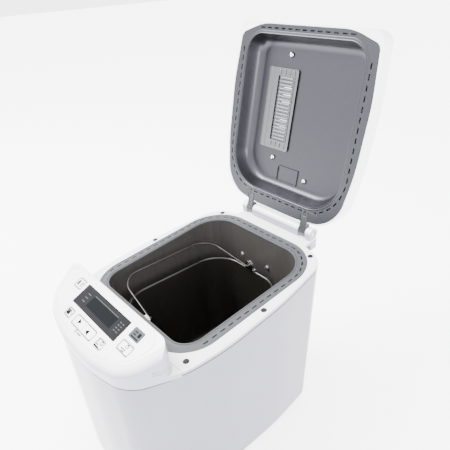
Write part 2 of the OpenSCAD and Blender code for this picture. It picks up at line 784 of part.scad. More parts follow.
module key_holes(gap, z, t) {
    for (k = key_places) translate([k[0], -k[1], 0])
        rounded_bar(k[2] + 2 * gap, k[3] + 2 * gap, 2, z, t);
}

module panel_housing() {
    color("white") difference() {
        on_deck() difference() {
            panel_form(0);
            panel_form(shell_wall);
            for (z = [6.4, 10]) translate([half_w - 20, panel_y - 24, z]) cube([40, 16, 1.3]);
        }
        on_panel() key_holes(key_gap, -6, 12);
        on_panel() translate([0, -window_y, 0])
            rounded_bar(window_w - 4, window_d - 4, 1.5, -6, 12);
    }
}

module overlay_form(z, t) {
    // The overlay's edge runs parallel to the panel's own, 7 mm inside it
    stretch = 1 / cos(panel_slope);
    p = inset(mirrored(panel_half(7)), 9.5);
    q = [for (c = p) [c[0], min((c[1] - panel_y) * stretch, -2.5), min(c[2], 40)]];
    slab(q, z, t);
}

module panel_overlay() {
    color("whitesmoke") on_panel() difference() {
        overlay_form(0, overlay_t);
        key_holes(key_gap, -1, 3);
        translate([0, -window_y, 0]) rounded_bar(window_w + 0.4, window_d + 0.4, 1.5, -1, 3);
    }
}

module display_window() {
    color("dimgray") on_panel() translate([0, -window_y, 0])
        rounded_bar(window_w, window_d, 1.5, 0.02, overlay_t - 0.1);
}

pcb_z = -9.5;

module lcd_module() {
    color("darkslategray") on_panel() translate([2 - 30, -window_y - 9.5, pcb_z + 1.7])
        cube([60, 20, -pcb_z - 1.8]);
}

module control_board() {
    color("olivedrab") on_panel() {
        translate([0, 0, pcb_z]) linear_extrude(1.6)
            polygon([[-88, -8], [-88, -34], [-56, -57], [56, -57], [88, -34], [88, -8]]);
        both_sides() for (p = [[82, -12], [53, -52]]) translate([p[0], p[1], pcb_z + 1.6 - eps])
            cylinder(r = 2.5, h = -pcb_z - 1.6 - shell_wall);
    }
}

module tact_switches() {
    color("dimgray") on_panel() for (k = key_places) translate([k[0], -k[1], pcb_z + 1.7]) {
        translate([-3, -3, 0]) cube([6, 6, 2]);
        cylinder(r = 1.7, h = 2.5);
    }
}

module key(k, c) {
    color(c) on_panel() translate([k[0], -k[1], 0]) {
        rounded_bar(k[2], k[3], 1.7, overlay_t - 2.4, 2.4);
        translate([0, 0, pcb_z + 1.7 + 2.5 + key_travel + 0.3])
            cylinder(r = 2, h = -pcb_z - 1.7 - 2.8 - key_travel);
    }
}

module menu_key() { key(menu_at, "whitesmoke"); }
module loaf_key() { key(loaf_at, "whitesmoke"); }
module down_key() { key(down_at, "whitesmoke"); }
module up_key() { key(up_at, "whitesmoke"); }
module crust_key() { key(crust_at, "whitesmoke"); }
module start_key() { key(start_at, "whitesmoke"); }
module program_key() { key(program_at, "gray"); }

// ---- lid, drawn shut on the deck and swung open ----
lid_wall = 2.5;

module lid_form(d) {
    foot = d > 0 ? 2 : 0;                      // the hollow runs out through the rim
    hull() {
        slab(inset(lid_outline, d), lid_base - foot, 13 + foot);
        slab(inset(lid_outline, 3 + d), lid_base + 22 - d, skin);
        slab(inset(lid_outline, 10 + d), lid_base + 30 - d, skin);
        slab(inset(lid_outline, 26 + d), lid_base + 35.4 - d, skin);
        slab(inset(lid_outline, 52 + d), lid_top - skin - d, skin);
    }
}

module lid_shell() {
    color("white") lid_open() difference() {
        lid_form(0);
        lid_form(lid_wall);
        // Clearance for the hinge arms through the back wall
        both_sides() translate([arm_x - arm_w / 2 - 0.5, lid_rear - 14, -2])
            cube([arm_w + 1, 20, arm_top + 2.6]);
        for (k = [-3 : 3]) translate([-52, k * 9 - 10, lid_top - 8]) cube([40, 3, 16]);
    }
}

// Front grip: a bar across the lid's front edge, proud of the top
module lid_handle() {
    x = half_w - 24;
    color("white") lid_open() difference() {
        hull() {
            translate([-x, lid_front + 5, lid_base + 24]) cube([2 * x, grip_l - 10, 2]);
            translate([-x + 4, lid_front + 1, lid_top - 3]) cube([2 * x - 8, grip_l - 4, 2]);
            translate([-x + 8, lid_front + 4, lid_top + grip_h - 3]) cube([2 * x - 16, grip_l - 16, 1]);
        }
        lid_form(-0.1);
    }
}

liner_t = 1;

module dish_form(d) {
    // The dish opens downwards: its mouth is at the rim and its floor inside the lid
    hull() {
        slab(inset(dish_outline, d), lid_base - 1, skin);
        slab(inset(dish_outline, 2 + d), lid_base + 5, skin);
        slab(inset(dish_outline, 7 + d), lid_base + dish_depth - 3 - d / 2, skin);
        slab(inset(dish_outline, 11 + d), lid_base + dish_depth - d, skin);
    }
}

module lid_liner() {
    color("darkgray") lid_open() difference() {
        union() {
            slab(liner_outline, lid_base, liner_t);
            intersection() {
                dish_form(0);
                translate([-200, -300, lid_base]) cube([400, 600, 60]);
            }
        }
        dish_form(liner_t);
        slot_row(inset(dish_outline, -4), 12.2, 7, 1.8, lid_base - 1, 4, -chamber_l / 2 + 18, 0,
            chamber_w / 2 - 14);
        for (p = screw_places) translate([p[0], p[1], 0]) cylinder(r = 1.7, h = 60);
        vent_cut(0.4);
        both_sides() translate([arm_x - arm_w / 2 - 0.3, lid_rear - 11, -2]) cube([arm_w + 0.6, 20, 10]);
    }
}

module lid_pad() {
    color("khaki") lid_open() difference() {
        slab(inset(dish_outline, 34), dish_floor + 1.5, 5);
        vent_cut(2);
        for (p = screw_places) translate([p[0], p[1], 0]) cylinder(r = 3, h = 60);
    }
}

vent_at = [-41, -7.5];                         // steam vent's frame: its middle and its size
vent_size = [53, 111];
rib_at = [-35.5, -8.5];                        // window with the ribs in it
rib_size = [31.5, 91];
rib_count = 18;
dish_floor = lid_base + dish_depth;

module vent_cut(gap) {
    translate([rib_at[0], rib_at[1], 0])
        rounded_bar(rib_size[0] + 2 * gap, rib_size[1] + 2 * gap, 1, dish_floor - 8, 20);
}

module vent_frame() {
    color("silver") lid_open() difference() {
        translate([vent_at[0], vent_at[1], 0])
            rounded_bar(vent_size[0], vent_size[1], 3, dish_floor - liner_t - 1.3, 1.2);
        vent_cut(-1.5);
    }
}

module vent_ribs() {
    pitch = (rib_size[1] - 3) / rib_count;
    color("gainsboro") lid_open() translate([rib_at[0], rib_at[1], 0]) difference() {
        rounded_bar(rib_size[0] - 0.8, rib_size[1] - 0.8, 1, dish_floor - liner_t - 0.1, 3);
        for (k = [0 : rib_count - 1])
            translate([-rib_size[0] / 2 + 3, (k - (rib_count - 1) / 2) * pitch - 1, dish_floor - 4])
                cube([rib_size[0] - 6, 2, 10]);
    }
}

screw_places = [[-33, -81], [-40, 61], [23.5, 80]];

module liner_screws() {
    color("silver") lid_open() for (p = screw_places)
        translate([p[0], p[1], dish_floor - liner_t - 0.1]) {
            cylinder(r = 1.5, h = 8);
            rotate([180, 0, 0]) rotate_extrude(angle = 360)
                polygon([[0, 0], [3.6, 0], [3.4, 1], [2.6, 2], [1.4, 2.6], [0, 2.8]]);
        }
}

arm_top = lid_base + 8;

// Arms cast with the rim: two ribs on each run out from the liner to an eye round the pin
module hinge_arms() {
    color("gray") lid_open() both_sides() difference() {
        union() {
            translate([arm_x - arm_w / 2, lid_rear - 10.6, lid_base]) cube([arm_w, 7.3, 6]);
            translate([arm_x - arm_w / 2, lid_rear - 4, lid_base + 0.5])
                cube([arm_w, hinge_y - lid_rear + 4, arm_top - lid_base - 0.5]);
            translate([arm_x - arm_w / 2, hinge_y, hinge_rise]) rotate([0, 90, 0])
                cylinder(r = arm_r, h = arm_w);
        }
        translate([0, hinge_y, hinge_rise]) rotate([0, 90, 0])
            cylinder(r = hinge_pin_d / 2 + running, h = 200);
    }
}

// ---- bread pan ----
module pan_form(d) {
    lift = d > 0 ? pan_wall : 0;
    translate([0, pan_y, 0]) hull() {
        slab(inset(pan_mouth, pan_draft + 7 - pan_wall + d), pan_z + lift, skin);
        slab(inset(pan_mouth, pan_draft + 2 - pan_wall + d), pan_z + 2.5 + lift, skin);
        slab(inset(pan_mouth, pan_draft - pan_wall + d), pan_z + 8 + lift, skin);
        slab(inset(pan_mouth, d - pan_wall), pan_rim - skin + lift, skin);
    }
}

module bread_pan() {
    color("dimgray") difference() {
        union() {
            pan_form(0);
            translate([0, pan_y, pan_rim - 3]) slab(inset(pan_mouth, -rim_w), 0, 3);
        }
        pan_form(pan_wall);
        translate([0, pan_y, pan_z - 1]) cylinder(r = bush_r, h = 20);
    }
}

module pan_ears() {
    color("silver") translate([0, pan_y, 0]) for (s = [0, 180]) rotate(s) difference() {
        union() {
            translate([-7, ear_y - ear_t / 2, pan_rim + 0.1]) cube([14, ear_t, pivot_z - pan_rim - 0.1]);
            translate([0, ear_y - ear_t / 2, pivot_z]) rotate([-90, 0, 0]) cylinder(r = 7, h = ear_t);
            translate([-9, ear_y - ear_t / 2, pan_rim + 0.1]) cube([18, ear_t + 2.5, 1.6]);
        }
        translate([0, ear_y - 5, pivot_z]) rotate([-90, 0, 0]) cylinder(r = wire_r + running, h = 12);
    }
}

pan_ring_r = socket_r - 1;

module pan_base_ring() {
    color("silver") translate([0, pan_y, floor_h + 0.4]) {
        tube(pan_ring_r, pan_ring_r - 4, pan_ring_h);
        translate([0, 0, pan_ring_h - 2.2]) tube(pan_ring_r, bush_r + 2, 2.2);
        for (a = [0, 180]) rotate(a) translate([pan_ring_r - 2, -6, 4]) cube([5, 12, 4]);
    }
}

bush_r = pan_shaft_r + 4;
bush_top = pan_z + pan_wall + 5;

module pan_bush() {
    color("goldenrod") translate([0, pan_y, 0]) {
        translate([0, 0, hub_top + dog_h + 3]) tube(bush_r, pan_shaft_r + running,
            bush_top - hub_top - dog_h - 3);
        translate([0, 0, pan_z + pan_wall + 0.1]) tube(bush_r + 3, pan_shaft_r + running, 2);
    }
}

paddle_z = bush_top + 0.6;
paddle_h = 16;
shaft_top = paddle_z + paddle_h + 1;

module paddle_shaft() {
    color("silver") translate([0, pan_y, hub_top + 0.9]) difference() {
        cylinder(r = pan_shaft_r, h = shaft_top - hub_top - 0.9);
        translate([pan_shaft_r - 1.6, -8, bush_top - hub_top - 0.6]) cube([8, 16, 60]);
    }
}

module pan_coupling() {
    color("dimgray") translate([0, pan_y, hub_top + 0.9]) difference() {
        union() {
            cylinder(r = 9.5, h = dog_h + 1.4);
            for (a = [90, 270]) rotate(a) translate([0, -dog_w / 2, 0]) cube([dog_r, dog_w, dog_h]);
        }
        translate([0, 0, -1]) cylinder(r = pan_shaft_r, h = dog_h + 4);
    }
}

blade_l = 34;
blade_h = 24;

module kneading_paddle() {
    color("dimgray") translate([0, pan_y, paddle_z]) difference() {
        union() {
            cylinder(r = 9, h = paddle_h);
            hull() {
                translate([-3, -3, 0]) cube([6, 6, 8]);
                translate([blade_l, 6, 0]) cylinder(r = 2.5, h = 8, $fn = 32);
                translate([blade_l - 8, 4, 0]) cylinder(r = 2, h = blade_h, $fn = 32);
            }
        }
        difference() {
            translate([0, 0, -1]) cylinder(r = pan_shaft_r + 0.15, h = paddle_h + 30);
            translate([pan_shaft_r - 1.45, -10, -2]) cube([8, 20, paddle_h + 32]);
        }
    }
}

// ---- bail handle: drawn level and reaching left from its pivots, then raised to where it rests ----
bail_corner = 26;
bail_lean = 6;                                 // the arms draw in by this angle

module pan_handle() {
    inner_y = ear_y - ear_t / 2 - 3;           // where the arms leave the pins
    bend = arc_points([0, inner_y], [-bail_reach, inner_y - bail_reach * tan(bail_lean)],
        [-bail_reach, 0], bail_corner, bend_step);
    route = there_and_back(concat([[0, inner_y]], bend));
    color("silver") translate([0, pan_y, pivot_z]) rotate([0, bail_rise, 0]) {
        wire(route, wire_r);
        for (a = [0, 180]) rotate(a) {
            rod([0, inner_y - 2, 0], [0, inner_y + 2, 0], wire_r + 0.5);
            rod([0, inner_y, 0], [0, ear_y + ear_t / 2 + 2, 0], wire_r);
        }
    }
}

body_shell();
base_plate();
rubber_feet();
base_screws();
deck_cover();
deck_plugs();
chamber_flange();
oven_chamber();
wall_rivets();
heater_element();
heater_clips();
temperature_sensor();
heat_shield();
pan_socket();
chassis_plate();
chassis_posts();
drive_bearing();
motor_body();
motor_screws();
drive_belt();
power_board();
transformer();
inner_wiring();
power_gland();
rear_label();
panel_housing();
panel_overlay();
display_window();
lcd_module();
control_board();
tact_switches();
hinge_pins();
lid_shell();
lid_handle();
lid_liner();
lid_pad();
vent_frame();
vent_ribs();
liner_screws();
hinge_arms();
bread_pan();
pan_ears();
pan_base_ring();
pan_bush();
pan_handle();
paddle_shaft();
pan_coupling();
kneading_paddle();
drive_shaft();
drive_coupling();
drive_pulley();
motor_shaft();
motor_pulley();
menu_key();
loaf_key();
down_key();
up_key();
crust_key();
start_key();
program_key();
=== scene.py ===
import json
import math

import bmesh
import bpy
from mathutils import Matrix, Vector


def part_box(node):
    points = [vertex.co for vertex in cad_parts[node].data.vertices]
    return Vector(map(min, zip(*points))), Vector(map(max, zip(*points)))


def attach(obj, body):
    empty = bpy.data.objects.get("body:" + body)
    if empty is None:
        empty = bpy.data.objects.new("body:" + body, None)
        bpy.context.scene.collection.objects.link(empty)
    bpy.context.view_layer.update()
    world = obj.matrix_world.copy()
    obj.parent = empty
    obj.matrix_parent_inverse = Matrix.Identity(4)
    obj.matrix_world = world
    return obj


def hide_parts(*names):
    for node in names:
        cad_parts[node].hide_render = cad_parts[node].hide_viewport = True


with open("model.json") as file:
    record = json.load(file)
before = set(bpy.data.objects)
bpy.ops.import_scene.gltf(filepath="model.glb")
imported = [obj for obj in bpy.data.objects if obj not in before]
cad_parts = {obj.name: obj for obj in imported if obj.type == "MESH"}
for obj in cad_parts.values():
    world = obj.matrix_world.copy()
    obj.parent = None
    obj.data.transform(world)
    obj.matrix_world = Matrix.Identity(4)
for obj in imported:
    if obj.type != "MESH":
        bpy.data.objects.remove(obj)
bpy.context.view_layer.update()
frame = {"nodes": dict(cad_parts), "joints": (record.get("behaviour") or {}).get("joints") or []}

scene = bpy.context.scene
nodes = frame["nodes"]

# ---- view ----
# The machine is looked down on from its front right corner, through a normal lens, with the
# camera leaning a few degrees.
camera_place = (0.4212, -0.3243, 0.5747)
camera_azimuth = math.radians(50.71)
camera_height = math.radians(28.65)
camera_roll = math.radians(-3.01)
camera_back = Vector((math.sin(camera_azimuth) * math.cos(camera_height),
                      -math.cos(camera_azimuth) * math.cos(camera_height),
                      math.sin(camera_height)))
camera_right = Vector((math.cos(camera_azimuth), math.sin(camera_azimuth), 0))
camera_axes = Matrix((camera_right, camera_back.cross(camera_right), camera_back)).transposed()
camera = bpy.data.objects.new("camera", bpy.data.cameras.new("camera"))
camera.data.sensor_width = 36
camera.data.lens = 38.29
camera.data.clip_start = 0.01
camera.matrix_world = (Matrix.Translation(camera_place) @ camera_axes.to_4x4()
                       @ Matrix.Rotation(camera_roll, 4, "Z"))
scene.collection.objects.link(camera)
scene.camera = camera

# ---- floor and studio light ----
# A plain pale sweep under a white surround, with a large soft light high over the machine's left
# shoulder and a weaker one at its right, as in a product studio.


def linear(hex_colour):
    """Linear colour of an sRGB hex value"""
    channels = [int(hex_colour[i:i + 2], 16) / 255 for i in (1, 3, 5)]
    return [c / 12.92 if c <= 0.04045 else ((c + 0.055) / 1.055) ** 2.4 for c in channels] + [1.0]


def new_material(name, colour, roughness, metallic=0.0, **sockets):
    """Material with one Principled shader, its constants set on the shader's own sockets"""
    material = bpy.data.materials.new(name)
    material.use_nodes = True
    shader = material.node_tree.nodes["Principled BSDF"]
    shader.inputs["Base Color"].default_value = linear(colour)
    shader.inputs["Roughness"].default_value = roughness
    shader.inputs["Metallic"].default_value = metallic
    for socket, value in sockets.items():
        shader.inputs[socket.replace("_", " ")].default_value = value
    material.diffuse_color = linear(colour)
    return material


def add(material, kind, inputs, **settings):
    """A node with its settings, its sockets set to values or linked from other sockets"""
    tree = material.node_tree
    node = tree.nodes.new(kind)
    for name, value in settings.items():
        setattr(node, name, value)
    for socket, value in inputs.items():
        if isinstance(value, bpy.types.NodeSocket):
            tree.links.new(value, node.inputs[socket])
        else:
            node.inputs[socket].default_value = value
    return node


def into_shader(material, socket, value):
    shader = material.node_tree.nodes["Principled BSDF"]
    material.node_tree.links.new(value, shader.inputs[socket])


# Matt paper, lit from behind too, so that it stays nearly white
paper = new_material("white_paper_sweep", "#FDFDFD", 0.95, Emission_Color=(1, 1, 1, 1),
                     Emission_Strength=2.5)
paper_place = add(paper, "ShaderNodeTexCoord", {}).outputs["Object"]
paper_fibre = add(paper, "ShaderNodeTexNoise", {"Vector": paper_place, "Scale": 40.0}).outputs["Fac"]
paper_white = add(paper, "ShaderNodeMix", {0: paper_fibre, 6: linear("#FBFBFB"),
                  7: linear("#FFFFFF")}, data_type="RGBA").outputs[2]
into_shader(paper, "Base Color", paper_white)
floor_mesh = bpy.data.meshes.new("floor")
bm = bmesh.new()
floor_half = 8
bmesh.ops.create_grid(bm, x_segments=1, y_segments=1, size=floor_half)
bm.to_mesh(floor_mesh)
bm.free()
floor = bpy.data.objects.new("floor", floor_mesh)
floor_mesh.materials.append(paper)
scene.collection.objects.link(floor)

world = bpy.data.worlds.new("studio")
world.use_nodes = True
world.node_tree.nodes["Background"].inputs["Color"].default_value = (1, 1, 1, 1)
world.node_tree.nodes["Background"].inputs["Strength"].default_value = 4.4
scene.world = world


def soft_light(name, place, aim, size, power):
    data = bpy.data.lights.new(name, "AREA")
    data.size = size
    data.energy = power
    lamp = bpy.data.objects.new(name, data)
    lamp.location = place
    lamp.rotation_euler = (Vector(aim) - Vector(place)).to_track_quat("-Z", "Y").to_euler()
    scene.collection.objects.link(lamp)


soft_light("key_light", (-1.0, -0.7, 1.7), (0, 0, 0.2), 0.9, 105)
soft_light("fill_light", (1.5, -0.4, 0.7), (0, 0.1, 0.35), 0.5, 16)

# ---- base: plate, feet and screws ----
# A pressed zinc-plated plate closes the body from below and carries four turned rubber feet. Six
# pan-head screws hold it to the shell.


def moulded(name, dark, light, roughness, grain_mm, relief_mm, **sockets):
    """Moulded plastic or rubber: an even colour that drifts a little over the part, and the fine
    grain of the mould's steel"""
    material = new_material(name, light, roughness, **sockets)
    place = add(material, "ShaderNodeTexCoord", {}).outputs["Object"]
    drift = add(material, "ShaderNodeTexNoise", {"Vector": place, "Scale": 14.0, "Detail": 1.0})
    grain = add(material, "ShaderNodeTexNoise", {"Vector": place, "Scale": 1000 / grain_mm,
                "Detail": 2.0})
    colour = add(material, "ShaderNodeMix", {0: drift.outputs["Fac"], 6: linear(dark),
                 7: linear(light)}, data_type="RGBA")
    into_shader(material, "Base Color", colour.outputs[2])
    shine = add(material, "ShaderNodeMapRange", {"Value": grain.outputs["Fac"],
                "To Min": roughness * 0.85, "To Max": min(roughness * 1.15, 1.0)})
    into_shader(material, "Roughness", shine.outputs["Result"])
    relief = add(material, "ShaderNodeBump", {"Height": grain.outputs["Fac"], "Strength": 0.5,
                 "Distance": relief_mm / 1000})
    into_shader(material, "Normal", relief.outputs["Normal"])
    return material


def drawn_metal(name, dark, light, smooth, rough, grain_mm, stretch, metallic=1.0, **sockets):
    """Rolled, drawn or turned metal: its colour and shine run in fine lines along one axis, the
    one with the small stretch"""
    material = new_material(name, light, rough, metallic, **sockets)
    place = add(material, "ShaderNodeTexCoord", {}).outputs["Object"]
    along = add(material, "ShaderNodeMapping", {"Vector": place, "Scale": stretch})
    lines = add(material, "ShaderNodeTexNoise", {"Vector": along.outputs["Vector"],
                "Scale": 1000 / grain_mm, "Detail": 3.0})
    colour = add(material, "ShaderNodeMix", {0: lines.outputs["Fac"], 6: linear(dark),
                 7: linear(light)}, data_type="RGBA")
    into_shader(material, "Base Color", colour.outputs[2])
    shine = add(material, "ShaderNodeMapRange", {"Value": lines.outputs["Fac"], "To Min": smooth,
                "To Max": rough})
    into_shader(material, "Roughness", shine.outputs["Result"])
    relief = add(material, "ShaderNodeBump", {"Height": lines.outputs["Fac"], "Strength": 0.3,
                 "Distance": 0.00002})
    into_shader(material, "Normal", relief.outputs["Normal"])
    return material


def dress(material, *names):
    """Gives CAD nodes their finish"""
    for name in names:
        nodes[name].data.materials.clear()
        nodes[name].data.materials.append(material)


# Zinc plating is dull and faintly clouded
zinc_plate = drawn_metal("zinc_plated_sheet", "#9DA0A4", "#C3C5C8", 0.32, 0.5, 5, (1, 1, 1))
# Nitrile rubber is matt and nearly black
foot_rubber = moulded("black_nitrile_rubber", "#141414", "#1E1E1F", 0.7, 1.2, 0.03)
# Turned steel is bright, with fine rings from the tool
bright_steel = drawn_metal("bright_turned_steel", "#BFC0C2", "#E2E2E4", 0.14, 0.26, 0.6, (1, 1, 0.1))
dress(zinc_plate, "base_plate", "chassis_plate", "chassis_posts", "wall_rivets")
# The heat shield is bare aluminised sheet, brighter and rolled upwards
dress(drawn_metal("aluminised_sheet", "#B4B5B7", "#D3D4D5", 0.28, 0.42, 2, (1, 1, 0.05)), "heat_shield")
dress(foot_rubber, "rubber_feet")
dress(bright_steel, "base_screws", "motor_screws", "hinge_pins", "drive_shaft", "motor_shaft",
      "paddle_shaft", "temperature_sensor", "heater_clips", "pan_ears")

# ---- body shell ----
# One tapered moulding in glossy white ABS, 2.5 mm thick, open above and below. It leans in towards
# its foot, and has vent slots at the back and a hole for the cord gland.
mm = Matrix.Scale(0.001, 4)
joints = {joint["name"]: joint for joint in frame["joints"]}
hinge_at = Vector(joints["lid_hinge"]["pos_m"])
deck_tilt = math.radians(6.6)
hinge_back = 140                # hinge axis behind the chamber's middle and above the deck
hinge_rise = 8
# Deck frame in millimetres: origin at the chamber's middle, z square to the deck
on_deck = (Matrix.Translation(hinge_at) @ Matrix.Rotation(deck_tilt, 4, "X") @ mm
           @ Matrix.Translation((0, -hinge_back, -hinge_rise)))
chamber_y = on_deck.translation.y * 1000
# Upright frame in millimetres, with the same middle and its zero on the worktop
upright = mm @ Matrix.Translation((0, chamber_y, 0))
corner_step = math.radians(4)
loft_spread = 100


def mirrored(half):
    """An outline of corners (x, y, radius), anticlockwise, from its right half"""
    return half + [(-x, y, r) for x, y, r in reversed(half)]


def inset(corners, d):
    """The outline with each side moved in by d"""
    moved = []
    for i, (x, y, r) in enumerate(corners):
        here = Vector((x, y))
        before = (here - Vector(corners[i - 1][:2])).normalized()
        after = (Vector(corners[(i + 1) % len(corners)][:2]) - here).normalized()
        normals = Vector((-before.y, before.x)) + Vector((-after.y, after.x))
        place = here + normals * (d / (1 + before.dot(after)))
        moved.append((place.x, place.y, max(r - d, min(r, 6))))
    return moved


def rounded_face(bm, corners, z):
    """A flat face whose corners are rounded by bevels"""
    points = [bm.verts.new((x, y, z)) for x, y, r in corners]
    old = set(bm.verts) - set(points)
    bm.faces.new(points)
    for i, point in enumerate(points):
        here = Vector(corners[i][:2])
        before = here - Vector(corners[i - 1][:2])
        after = Vector(corners[(i + 1) % len(corners)][:2]) - here
        turn = before.angle(after)
        bmesh.ops.bevel(bm, geom=[point], offset=corners[i][2] * math.tan(turn / 2),
                        segments=max(2, round(turn / corner_step)), profile=0.5,
                        affect="VERTICES", material=-1, clamp_overlap=False)
    new = next(v for v in bm.verts if v not in old)
    return new.link_faces[0]


def face_out(bm):
    """Turns a closed skin's faces outwards"""
    bmesh.ops.recalc_face_normals(bm, faces=bm.faces)
    if bm.calc_volume(signed=True) < 0:
        bmesh.ops.reverse_faces(bm, faces=bm.faces)


def lofted(levels, ring=False, caps=True):
    """A skin through rounded outlines, each (corners, z), or (corners, z, matrix). It is closed by
    a flat cap at each end, or into a ring. The outlines are bridged while they stand well apart,
    because outlines in one plane would be joined with a twist"""
    bm = bmesh.new()
    loops = []
    points = []
    for corners, z, *place in levels:
        face = rounded_face(bm, corners, z)
        loops.append(list(face.edges))
        points.append(list(face.verts))
        if place:
            bmesh.ops.transform(bm, matrix=place[0], verts=points[-1])
        bmesh.ops.translate(bm, vec=(0, 0, len(points) * loft_spread), verts=points[-1])
        bmesh.ops.delete(bm, geom=[face], context="FACES_ONLY")
    for low, high in zip(loops, loops[1:] + loops[:1] if ring else loops[1:]):
        bmesh.ops.bridge_loops(bm, edges=low + high)
    for k, moved in enumerate(points):
        bmesh.ops.translate(bm, vec=(0, 0, -(k + 1) * loft_spread), verts=moved)
    if caps and not ring:
        bmesh.ops.edgeloop_fill(bm, edges=loops[0])
        bmesh.ops.edgeloop_fill(bm, edges=loops[-1])
    face_out(bm)
    return bm


def block(bm, low, high, corner=0.0, segments=3):
    """A block between two corners, with its edges rounded"""
    made = bmesh.ops.create_cube(bm, size=1)["verts"]
    bmesh.ops.scale(bm, vec=Vector(high) - Vector(low), verts=made)
    bmesh.ops.translate(bm, vec=(Vector(high) + Vector(low)) / 2, verts=made)
    if corner:
        bmesh.ops.bevel(bm, geom=list({e for v in made for e in v.link_edges}), offset=corner,
                        segments=segments, profile=0.5, affect="EDGES", material=-1)


def rod(bm, start, end, radius, segments=48, corner=0.0):
    """A round bar between two points, its end edges rounded"""
    start = Vector(start)
    way = Vector(end) - start
    place = Matrix.Translation(start + way / 2) @ way.to_track_quat("Z", "Y").to_matrix().to_4x4()
    made = bmesh.ops.create_cone(bm, cap_ends=True, segments=segments, radius1=radius,
                                 radius2=radius, depth=way.length, matrix=place)["verts"]
    if corner:
        rims = {e for v in made for e in v.link_edges if any(len(f.verts) > 4 for f in e.link_faces)}
        bmesh.ops.bevel(bm, geom=list(rims), offset=corner, segments=3, profile=0.5,
                        affect="EDGES", material=-1)


def carved(bm, tool, operation="DIFFERENCE"):
    """bm cut by, or joined to, a tool, which is a closed bmesh that this uses up"""
    solids = []
    for shape in (bm, tool):
        face_out(shape)
        mesh = bpy.data.meshes.new("solid")
        shape.to_mesh(mesh)
        shape.free()
        solids.append(bpy.data.objects.new("solid", mesh))
        scene.collection.objects.link(solids[-1])
    change = solids[0].modifiers.new("change", "BOOLEAN")
    change.object = solids[1]
    change.operation = operation
    change.solver = "EXACT"
    bpy.context.view_layer.update()
    result = bmesh.new()
    result.from_object(solids[0], bpy.context.evaluated_depsgraph_get())
    for solid in solids:
        mesh = solid.data
        bpy.data.objects.remove(solid)
        bpy.data.meshes.remove(mesh)
    bmesh.ops.remove_doubles(result, verts=result.verts, dist=0.0005)
    return result


def piece(name, bm, place, material, body, *stands_for, slot=None, crease=32):
    """An object at the origin with its place in its mesh, smooth but for its creases"""
    bm.transform(place)
    mesh = bpy.data.meshes.new(name)
    bm.to_mesh(mesh)
    bm.free()
    mesh.materials.append(material)
    mesh.shade_smooth()
    mesh.set_sharp_from_angle(angle=math.radians(crease))
    made = bpy.data.objects.new(name, mesh)
    scene.collection.objects.link(made)
    made.modifiers.new("even_shading", "WEIGHTED_NORMAL").keep_sharp = True
    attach(made, body)
    if stands_for:
        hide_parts(*stands_for)
    return made


# Glossy ABS: a hard bright gloss with the faintest orange peel
white_abs = moulded("white_abs_polished_mould", "#E9E9EC", "#F0F0F2", 0.2, 9, 0.02)
# The body's white ABS is coloured a dark blue-grey as painted shade, for its sides that stand in shade
body_abs_painted_shade = moulded("cool_white_abs_polished_mould", "#74747F", "#7B7B86", 0.2, 9, 0.02,
                   Specular_IOR_Level=0.35)
# The deck and the key panel are painted a darker, cooler grey down their flanks, by how far each face
# turns from upwards: painted shade on the sides
flank_shade_abs = moulded("white_abs_cool_flank", "#E9E9EC", "#F0F0F2", 0.2, 9, 0.02)
flank_way = add(flank_shade_abs, "ShaderNodeNewGeometry", {}).outputs["Normal"]
flank_up = add(flank_shade_abs, "ShaderNodeSeparateXYZ", {"Vector": flank_way}).outputs["Z"]
flank_lit_share = add(flank_shade_abs, "ShaderNodeMapRange", {"Value": flank_up, "From Min": 0.1,
                  "From Max": 0.6}).outputs["Result"]
# Painted shade: the flanks' dark blue-grey, mixed in where the faces stand upright
flank_painted_shade = add(flank_shade_abs, "ShaderNodeMix", {0: flank_lit_share, 6: linear("#8E8E9A"),
                 7: linear("#EEEEF0")}, data_type="RGBA").outputs[2]
into_shader(flank_shade_abs, "Base Color", flank_painted_shade)
body_corners = mirrored([(32, -186, 140), (88, -173.5, 45), (114, -117, 120), (120.5, -62, 220),
                         (118, 28, 300), (105, 113.5, 32), (32, 131, 220)])
shell_wall = 2.5
foot_inset = 11.96
shell_foot = 8.5
shell_top = -6.2
to_deck = upright.inverted() @ on_deck
shell = lofted([(inset(body_corners, foot_inset + shell_wall), shell_foot),
                (inset(body_corners, foot_inset + 0.6), shell_foot),
                (inset(body_corners, foot_inset), shell_foot + 1.2),
                (inset(body_corners, 0.8), shell_top - 2.6, to_deck),
                (inset(body_corners, 1.1), shell_top - 2.2, to_deck),
                (inset(body_corners, 2.9), shell_top - 2.1, to_deck),
                (inset(body_corners, 2.9), shell_top, to_deck),
                (inset(body_corners, 0.8 + shell_wall), shell_top, to_deck)], ring=True)
vents = bmesh.new()
vent_count = 14
vent_pitch = 7
vent_middle = -18
vent_foot, vent_top = 48.5, 74.5
for k in range(vent_count):
    x = (k - (vent_count - 1) / 2) * vent_pitch + vent_middle
    block(vents, (x, 95, vent_foot), (x + 3, 135, vent_top), 1.45)
gland_low, gland_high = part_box("power_gland")
gland_middle = upright.inverted() @ ((gland_low + gland_high) / 2)
# The gland stands square to the slanting rear corner
gland_way = Vector((0.37, 0.93, 0))
gland_hole = 7.3
rod(vents, gland_middle - gland_way * 20, gland_middle + gland_way * 20, gland_hole)
piece("body_shell_moulding", carved(shell, vents), upright, body_abs_painted_shade, "root", "body_shell")

